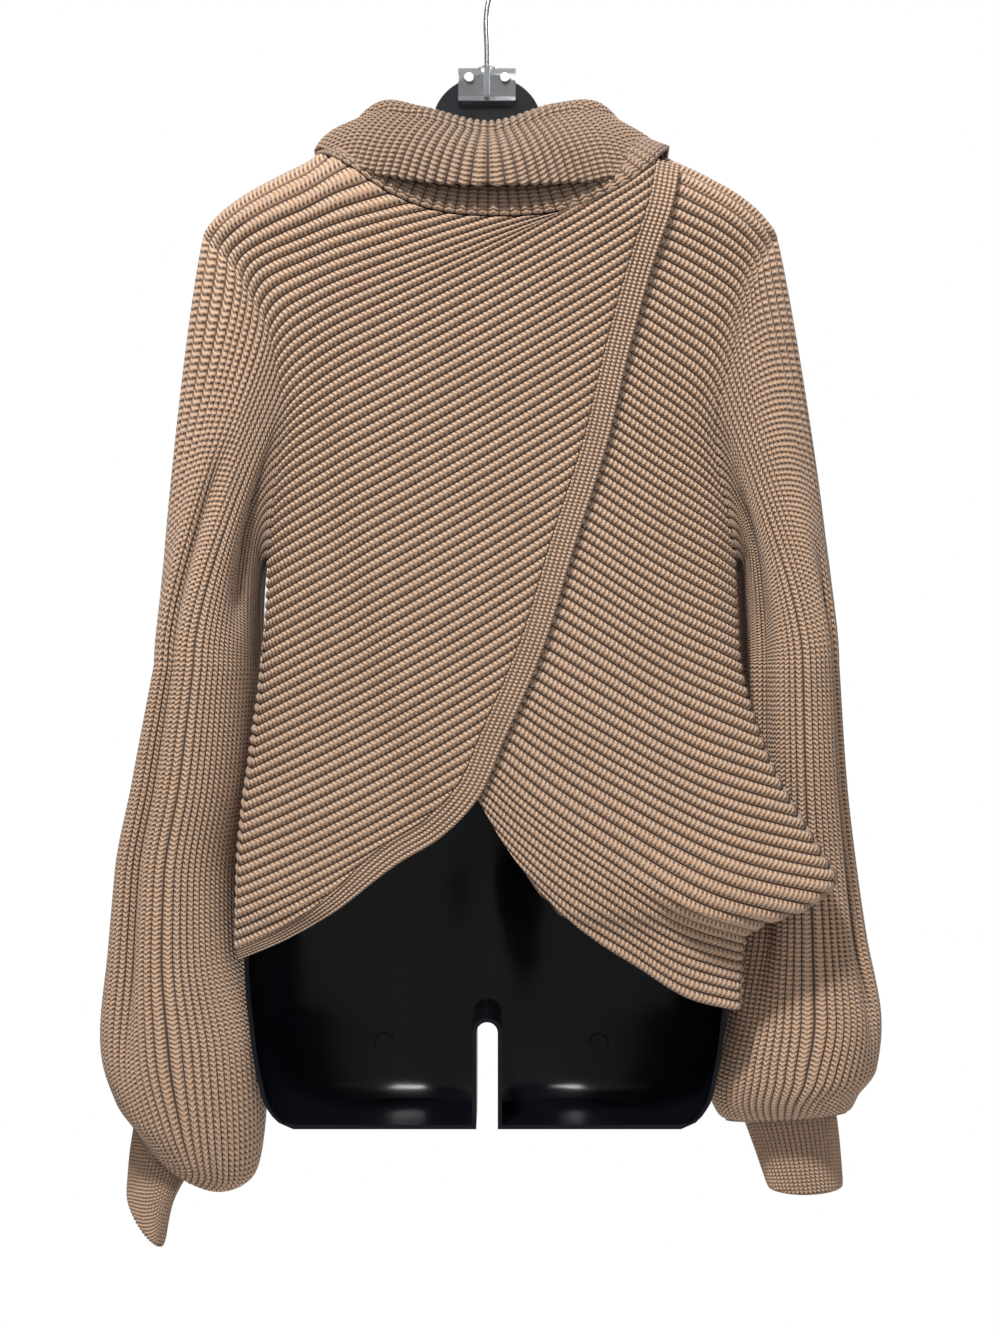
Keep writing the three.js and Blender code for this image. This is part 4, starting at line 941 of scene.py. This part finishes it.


# A knit. The pitch is one stitch's length in mm, the chevron how far its V leans, the groove the share of a
# rib's half width where the groove's painted shade begins, the next how dark the small holes are painted as
# shade and the last how far all its colours are darkened as painted shade
def knit_material(name, pitch, chevron, groove, hole_shade, painted_dimming=1.0):
    material, tree, shader = nodes_of(name)
    uv = tree.nodes.new("ShaderNodeUVMap")
    uv.uv_map = "knit"
    split = tree.nodes.new("ShaderNodeSeparateXYZ")
    tree.links.new(uv.outputs["UV"], split.inputs[0])
    coordinate = tree.nodes.new("ShaderNodeTexCoord").outputs["Object"]
    wobble = maths(tree, "MULTIPLY", maths(tree, "SUBTRACT", noise(tree, coordinate, 90), 0.5), 0.5)
    share = maths(tree, "FRACT", split.outputs["Y"])
    across = maths(tree, "ABSOLUTE", maths(tree, "SUBTRACT", maths(tree, "MULTIPLY", share, 2), 1))
    steps = maths(tree, "ADD", maths(tree, "DIVIDE", split.outputs["X"], pitch), wobble)
    phase = maths(tree, "ADD", steps, maths(tree, "MULTIPLY", across, chevron))
    wave = maths(tree, "SINE", maths(tree, "MULTIPLY", phase, 2 * math.pi))
    bead = maths(tree, "ADD", maths(tree, "MULTIPLY", wave, 0.5), 0.5)
    # small holes in a line on each side, next to the groove, painted dark as shade
    aside = maths(tree, "ABSOLUTE", maths(tree, "SUBTRACT", across, 0.62))
    beside = maths(tree, "SUBTRACT", 1, maths(tree, "MULTIPLY", aside, 3.2))
    gap = maths(tree, "SUBTRACT", 1, bead)
    hole = maths(tree, "MULTIPLY", ramp(tree, beside, 0.1, 0.9), ramp(tree, gap, 0.45, 0.95))
    # the groove between ribs painted dark as shade, on top of the real groove's own shading
    rim = ramp(tree, across, groove, 0.99)
    fuzz = noise(tree, coordinate, 1400, 3)
    patch = noise(tree, coordinate, 26, 2)
    # stitch crests painted lighter as light and the dips between them darker as shade, mixed with random
    # fibre tone
    pale = tuple(c * painted_dimming for c in KNIT_LIT_CREST[:3]) + (1,)
    middle = tuple(c * painted_dimming for c in KNIT_MIDDLE[:3]) + (1,)
    lit = maths(tree, "ADD", bead, maths(tree, "SUBTRACT", fuzz, 0.5))
    light = colour_mix(tree, ramp(tree, lit, 0.1, 0.8), middle, pale)
    toned = colour_mix(tree, ramp(tree, patch, 0.3, 0.75), light, middle)
    half = colour_mix(tree, maths(tree, "MULTIPLY", ramp(tree, patch, 0.35, 0.7), 0.25), light, toned)
    hole_shaded = colour_mix(tree, maths(tree, "MULTIPLY", hole, hole_shade), half, KNIT_PAINTED_SHADE)
    final = colour_mix(tree, rim, hole_shaded, KNIT_PAINTED_SHADE)
    tree.links.new(final, shader.inputs["Base Color"])
    shader.inputs["Roughness"].default_value = 0.92
    shader.inputs["Specular IOR Level"].default_value = 0.15
    shader.inputs["Sheen Weight"].default_value = 0.18
    shader.inputs["Sheen Roughness"].default_value = 0.5
    raised = maths(tree, "MULTIPLY", bead, maths(tree, "SUBTRACT", 1.1, across))
    sunk = maths(tree, "SUBTRACT", maths(tree, "MULTIPLY", fuzz, 0.35), maths(tree, "MULTIPLY", hole, 0.9))
    relief = maths(tree, "ADD", raised, sunk)
    bump = tree.nodes.new("ShaderNodeBump")
    bump.inputs["Strength"].default_value = 0.9
    bump.inputs["Distance"].default_value = 0.0014
    tree.links.new(relief, bump.inputs["Height"])
    tree.links.new(bump.outputs["Normal"], shader.inputs["Normal"])
    return material


knit = knit_material("camel_rib_knit", STITCH, 0.4, 0.74, 0.8)
fine_knit = knit_material("camel_fine_knit", 2.6, 0.5, 0.7, 0.45)
# the collar's knit: the same knit with all its colours darkened as painted shade
collar_knit_painted_shade = knit_material("camel_collar_knit", STITCH, 0.4, 0.72, 0.8, 0.68)


def plain_material(name, colour, roughness, metallic=0.0, specular=0.5, transmission=0.0):
    material, tree, shader = nodes_of(name)
    shader.inputs["Base Color"].default_value = colour
    shader.inputs["Metallic"].default_value = metallic
    shader.inputs["Specular IOR Level"].default_value = specular
    shader.inputs["Transmission Weight"].default_value = transmission
    coordinate = tree.nodes.new("ShaderNodeTexCoord").outputs["Object"]
    uneven = noise(tree, coordinate, 40, 3)
    spread = tree.nodes.new("ShaderNodeMapRange")
    spread.inputs["To Min"].default_value = roughness * 0.8
    spread.inputs["To Max"].default_value = roughness * 1.25
    tree.links.new(uneven, spread.inputs["Value"])
    tree.links.new(spread.outputs["Result"], shader.inputs["Roughness"])
    bump = tree.nodes.new("ShaderNodeBump")
    bump.inputs["Strength"].default_value = 0.05
    bump.inputs["Distance"].default_value = 0.001
    tree.links.new(uneven, bump.inputs["Height"])
    tree.links.new(bump.outputs["Normal"], shader.inputs["Normal"])
    return material


gloss_black = plain_material("gloss_black_shell", (0.003, 0.0035, 0.0055, 1), 0.2, specular=0.3)
clear_plastic = plain_material("clear_clamp_plastic", (0.62, 0.64, 0.66, 1), 0.1, transmission=0.9)
chrome = plain_material("bright_wire", (0.5, 0.5, 0.51, 1), 0.18, metallic=1.0)
screw_steel = plain_material("screw_steel", (0.34, 0.34, 0.35, 1), 0.32, metallic=1.0)

# Cloth pieces
pieces = {
    "over_wrap_left": panel("over_wrap", over_surface, OVER_RIBS, -1, "start", 72, 27, knit, over_lift),
    "under_wrap_right": panel("under_wrap", under_surface, UNDER_RIBS, -1, "end", 74, -30, knit),
    "plain_side": panel("plain_panel", far_surface, PLAIN_RIBS, 1, "both", 72, 0, knit),
    "over_wrap_band": band("wrap_band", fine_knit),
    "sleeve_left": sleeve("left_sleeve", -1, LEFT_SLEEVE, LEFT_FOLDS, knit),
    "sleeve_right": sleeve("right_sleeve", 1, RIGHT_SLEEVE, RIGHT_FOLDS, knit),
    "cuff_left": cuff("left_cuff", LEFT_CUFF, fine_knit),
    "cuff_right": cuff("right_cuff", RIGHT_CUFF, fine_knit),
    "collar": collar("fold_collar", collar_knit_painted_shade),
}
for node, piece in pieces.items():
    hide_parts(node)

# The form: the model's half body with finer sections, hollowed, with its slot and neck plate
FORM = table(["z", "half", "depth"], [
    [-128, 34, 10], [-136, 39, 40], [-150, 41, 54], [-165, 50, 58], [-178, 86, 64], [-198, 138, 74],
    [-218, 171.5, 84], [-240, 184.5, 93], [-280, 184.5, 104], [-345, 164.5, 111.5], [-400, 149.5, 107.5],
    [-450, 139.5, 99], [-505, 138, 92], [-560, 147, 92], [-620, 158, 98], [-680, 168, 106],
    [-727, 170.3, 108], [-790, 165, 102], [-812, 161, 99.5], [-826, 157.5, 97], [-834, 153, 94],
    [-839, 149, 90.5], [-843, 144, 86], [-845, 139, 81], [-846, 136, 77],
])
FORM_TOP, FORM_FOOT = FORM.rows[0].z, FORM.rows[-1].z
FORM_WALL = 3
RIM_Y = 3
RIDGE = SimpleNamespace(rise=24, half_width=38, top=-600, fade=150)  # between the two lobes
SLOT = SimpleNamespace(half=7.5, top=-771, foot=-900)
NECK_PLATE = SimpleNamespace(half=38, middle=-140, rise=33, foot=-150)
CUT_FROM, CUT_TO = -100, 200    # depths that a cutting tool runs through
HOLLOW_FROM = -40


def half_body(name, flat, inset):
    sides, heights = 72, np.linspace(FORM_TOP, FORM_FOOT, 160)
    a = np.linspace(0, math.pi, sides + 1)[None, :]
    z = heights[:, None]
    end = np.zeros_like(z)
    end[0], end[-1] = inset, -inset
    across = (FORM.half(z) - inset) * np.cos(a)
    ridge = RIDGE.rise * np.exp(-(across / RIDGE.half_width) ** 2) * ease((RIDGE.top - z) / RIDGE.fade)
    y = RIM_Y + (FORM.depth(z) - inset) * np.sin(a) - ridge
    y[:, 0] = y[:, -1] = flat
    points = stack(across, y, z - end) * MM
    ring = sides + 1
    faces = []
    for j in range(len(heights) - 1):
        for k in range(ring):
            p, q = j * ring + k, j * ring + (k + 1) % ring
            faces.append((p, q, q + ring, p + ring))
    faces.append(tuple(range(ring))[::-1])
    faces.append(tuple(range((len(heights) - 1) * ring, len(heights) * ring)))
    return solid_object(name, points.reshape(-1, 3).tolist(), faces)


def solid_object(name, points, faces):
    mesh = bpy.data.meshes.new(name)
    mesh.from_pydata(points, [], faces)
    made = bpy.data.objects.new(name, mesh)
    bpy.context.scene.collection.objects.link(made)
    bpy.context.view_layer.objects.active = made
    made.select_set(True)
    bpy.ops.object.mode_set(mode="EDIT")
    bpy.ops.mesh.select_all(action="SELECT")
    bpy.ops.mesh.normals_make_consistent(inside=False)
    bpy.ops.object.mode_set(mode="OBJECT")
    made.select_set(False)
    return made


def prism(name, outline, y0, y1):
    count = len(outline)
    points = [(x * MM, y * MM, z * MM) for y in (y0, y1) for x, z in outline]
    faces = [tuple(range(count)), tuple(range(count, 2 * count))[::-1]]
    faces += [(k, k + count, (k + 1) % count + count, (k + 1) % count) for k in range(count)]
    return solid_object(name, points, faces)


def slot_outline(grow):
    half, top = SLOT.half + grow, SLOT.top + grow
    arc = [(half * math.cos(a), top - half + half * math.sin(a)) for a in np.linspace(0, math.pi, 25)]
    return [(half, SLOT.foot)] + arc + [(-half, SLOT.foot)]


def plate_outline():
    plate = NECK_PLATE
    turns = np.linspace(0, math.pi, 41)
    arc = [(plate.half * math.cos(a), plate.middle + plate.rise * math.sin(a)) for a in turns]
    return arc + [(-plate.half, plate.foot), (plate.half, plate.foot)]


def cut(target, tool, operation):
    modifier = target.modifiers.new("shape", "BOOLEAN")
    modifier.operation = operation
    modifier.solver = "EXACT"
    modifier.object = tool
    bpy.context.view_layer.objects.active = target
    bpy.ops.object.modifier_apply(modifier="shape")
    bpy.data.objects.remove(tool, do_unlink=True)


form = half_body("hollow_form", RIM_Y, 0)
hollow = half_body("hollow_tool", HOLLOW_FROM, FORM_WALL)
cut(hollow, prism("slot_wall_tool", slot_outline(FORM_WALL), CUT_FROM, CUT_TO), "DIFFERENCE")
cut(form, hollow, "DIFFERENCE")
cut(form, prism("neck_plate_tool", plate_outline(), RIM_Y, RIM_Y + FORM_WALL), "UNION")
cut(form, prism("slot_tool", slot_outline(0), CUT_FROM, CUT_TO), "DIFFERENCE")
# Faint round marks inside the lobes
MARK = SimpleNamespace(places=(-77.4, 82.8), z=-802.6, radius=7, thick=0.55, proud=0.4)
for mark_x in MARK.places:
    half, depth = FORM.half(MARK.z) - FORM_WALL, FORM.depth(MARK.z) - FORM_WALL
    deep = math.sqrt(1 - (mark_x / half) ** 2) * depth
    facing = Vector((mark_x / half ** 2, deep / depth ** 2, 0))
    bpy.ops.mesh.primitive_torus_add(
        major_segments=48, minor_segments=6, major_radius=MARK.radius * MM, minor_radius=MARK.thick * MM,
        location=(mark_x * MM, (RIM_Y + deep - MARK.proud) * MM, MARK.z * MM),
        rotation=facing.to_track_quat("Z", "Y").to_euler())
    bpy.ops.object.transform_apply(location=True, rotation=True, scale=True)
    form.select_set(True)
    bpy.context.view_layer.objects.active = form
    bpy.ops.object.join()
    form.select_set(False)
form.data.shade_smooth()
form.data.set_sharp_from_angle(angle=math.radians(32))
form.data.materials.clear()
form.data.materials.append(gloss_black)
edge = form.modifiers.new("soft_rim", "BEVEL")
edge.width = 0.0006
edge.segments = 2
edge.limit_method = "ANGLE"
edge.angle_limit = math.radians(50)
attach(form, "root")
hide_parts("torso_form")

# The hook's wire
HOOK_R, WIRE_R = 20, 1.8
route = [(0, -122), (0, -92), (0, -62), (2.5, -53), (9, -44)]
route += [(HOOK_R * math.cos(math.radians(d)), WIRE_R - HOOK_R + HOOK_R * math.sin(math.radians(d)))
          for d in range(-40, 201, 20)]
wire = bpy.data.curves.new("hook_wire", "CURVE")
wire.dimensions = "3D"
wire.bevel_depth = WIRE_R * MM
wire.bevel_resolution = 6
wire.resolution_u = 10
wire.use_fill_caps = True
spline = wire.splines.new("BEZIER")
spline.bezier_points.add(len(route) - 1)
for point, (x, z) in zip(spline.bezier_points, route):
    point.co = (x * MM, 0, z * MM)
    point.handle_left_type = point.handle_right_type = "AUTO"
wire.materials.append(chrome)
hook = bpy.data.objects.new("hook_wire", wire)
bpy.context.scene.collection.objects.link(hook)
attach(hook, "root")
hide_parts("hook")

# The clamp and its screws keep their solids, with softened edges
small_parts = {
    "hook_clamp": clear_plastic,
    "clamp_screw_left": screw_steel,
    "clamp_screw_right": screw_steel,
}
for node, material in small_parts.items():
    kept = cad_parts[node]
    kept.data.materials.clear()
    kept.data.materials.append(material)
    soft = kept.modifiers.new("soft_edges", "BEVEL")
    soft.width = 0.0005
    soft.segments = 2
    soft.limit_method = "ANGLE"

# Floor, light and camera, in metres
FLOOR = SimpleNamespace(radius=0.82, y=0.1, z=-1.32)
CAMERA = SimpleNamespace(x=0.0091, distance=1.3, z=-0.52, half_height=0.465, sensor=24)
GARMENT = (0, 0, -0.5)      # what the lights are turned to
LOBES = (0, 0, -0.8)
AMBIENT = 0.36
bpy.ops.mesh.primitive_circle_add(
    vertices=96, radius=FLOOR.radius, fill_type="NGON", location=(0, FLOOR.y, FLOOR.z))
floor = bpy.context.active_object
floor.name = "pale_floor"
floor.data.materials.append(plain_material("pale_floor", (0.86, 0.86, 0.85, 1), 0.8))

world = bpy.data.worlds.new("soft_studio")
bpy.context.scene.world = world
world.use_nodes = True
sky = world.node_tree
sky.nodes["Background"].inputs["Color"].default_value = (1, 1, 1, 1)
dim = sky.nodes.new("ShaderNodeBackground")
dim.inputs["Color"].default_value = (1.0, 0.98, 0.96, 1)
dim.inputs["Strength"].default_value = AMBIENT
seen = sky.nodes.new("ShaderNodeLightPath")
blend = sky.nodes.new("ShaderNodeMixShader")
sky.links.new(seen.outputs["Is Camera Ray"], blend.inputs[0])
sky.links.new(dim.outputs[0], blend.inputs[1])
sky.links.new(sky.nodes["Background"].outputs[0], blend.inputs[2])
sky.links.new(blend.outputs[0], sky.nodes["World Output"].inputs[0])


def soft_light(name, place, target, size, power):
    data = bpy.data.lights.new(name, "AREA")
    data.shape = "DISK"
    data.size = size
    data.energy = power
    lamp = bpy.data.objects.new(name, data)
    bpy.context.scene.collection.objects.link(lamp)
    lamp.location = place
    lamp.rotation_euler = (Vector(target) - Vector(place)).to_track_quat("-Z", "Y").to_euler()
    return lamp


key = soft_light("key", (-0.4, -1.15, 1.15), GARMENT, 0.26, 70)
fill = soft_light("fill", (0.5, -1.9, -0.3), GARMENT, 1.1, 11)
key.visible_glossy = fill.visible_glossy = False
# a wide strip that only the form's gloss shows
gleam = soft_light("gleam", (0, -1.1, 0.6), LOBES, 1.1, 30)
gleam.data.shape = "RECTANGLE"
gleam.data.size_y = 0.3
gleam.visible_diffuse = False
soft_light("behind", (0.6, 1.9, 0.6), GARMENT, 1.2, 30)

camera_data = bpy.data.cameras.new("photo_view")
camera_data.sensor_fit = "VERTICAL"
camera_data.sensor_height = CAMERA.sensor
camera_data.lens = CAMERA.sensor / 2 * CAMERA.distance / CAMERA.half_height
camera = bpy.data.objects.new("photo_view", camera_data)
bpy.context.scene.collection.objects.link(camera)
camera.location = (CAMERA.x, -CAMERA.distance, CAMERA.z)
camera.rotation_euler = (math.pi / 2, 0, 0)
bpy.context.scene.camera = camera
bpy.context.scene.view_settings.view_transform = "Standard"
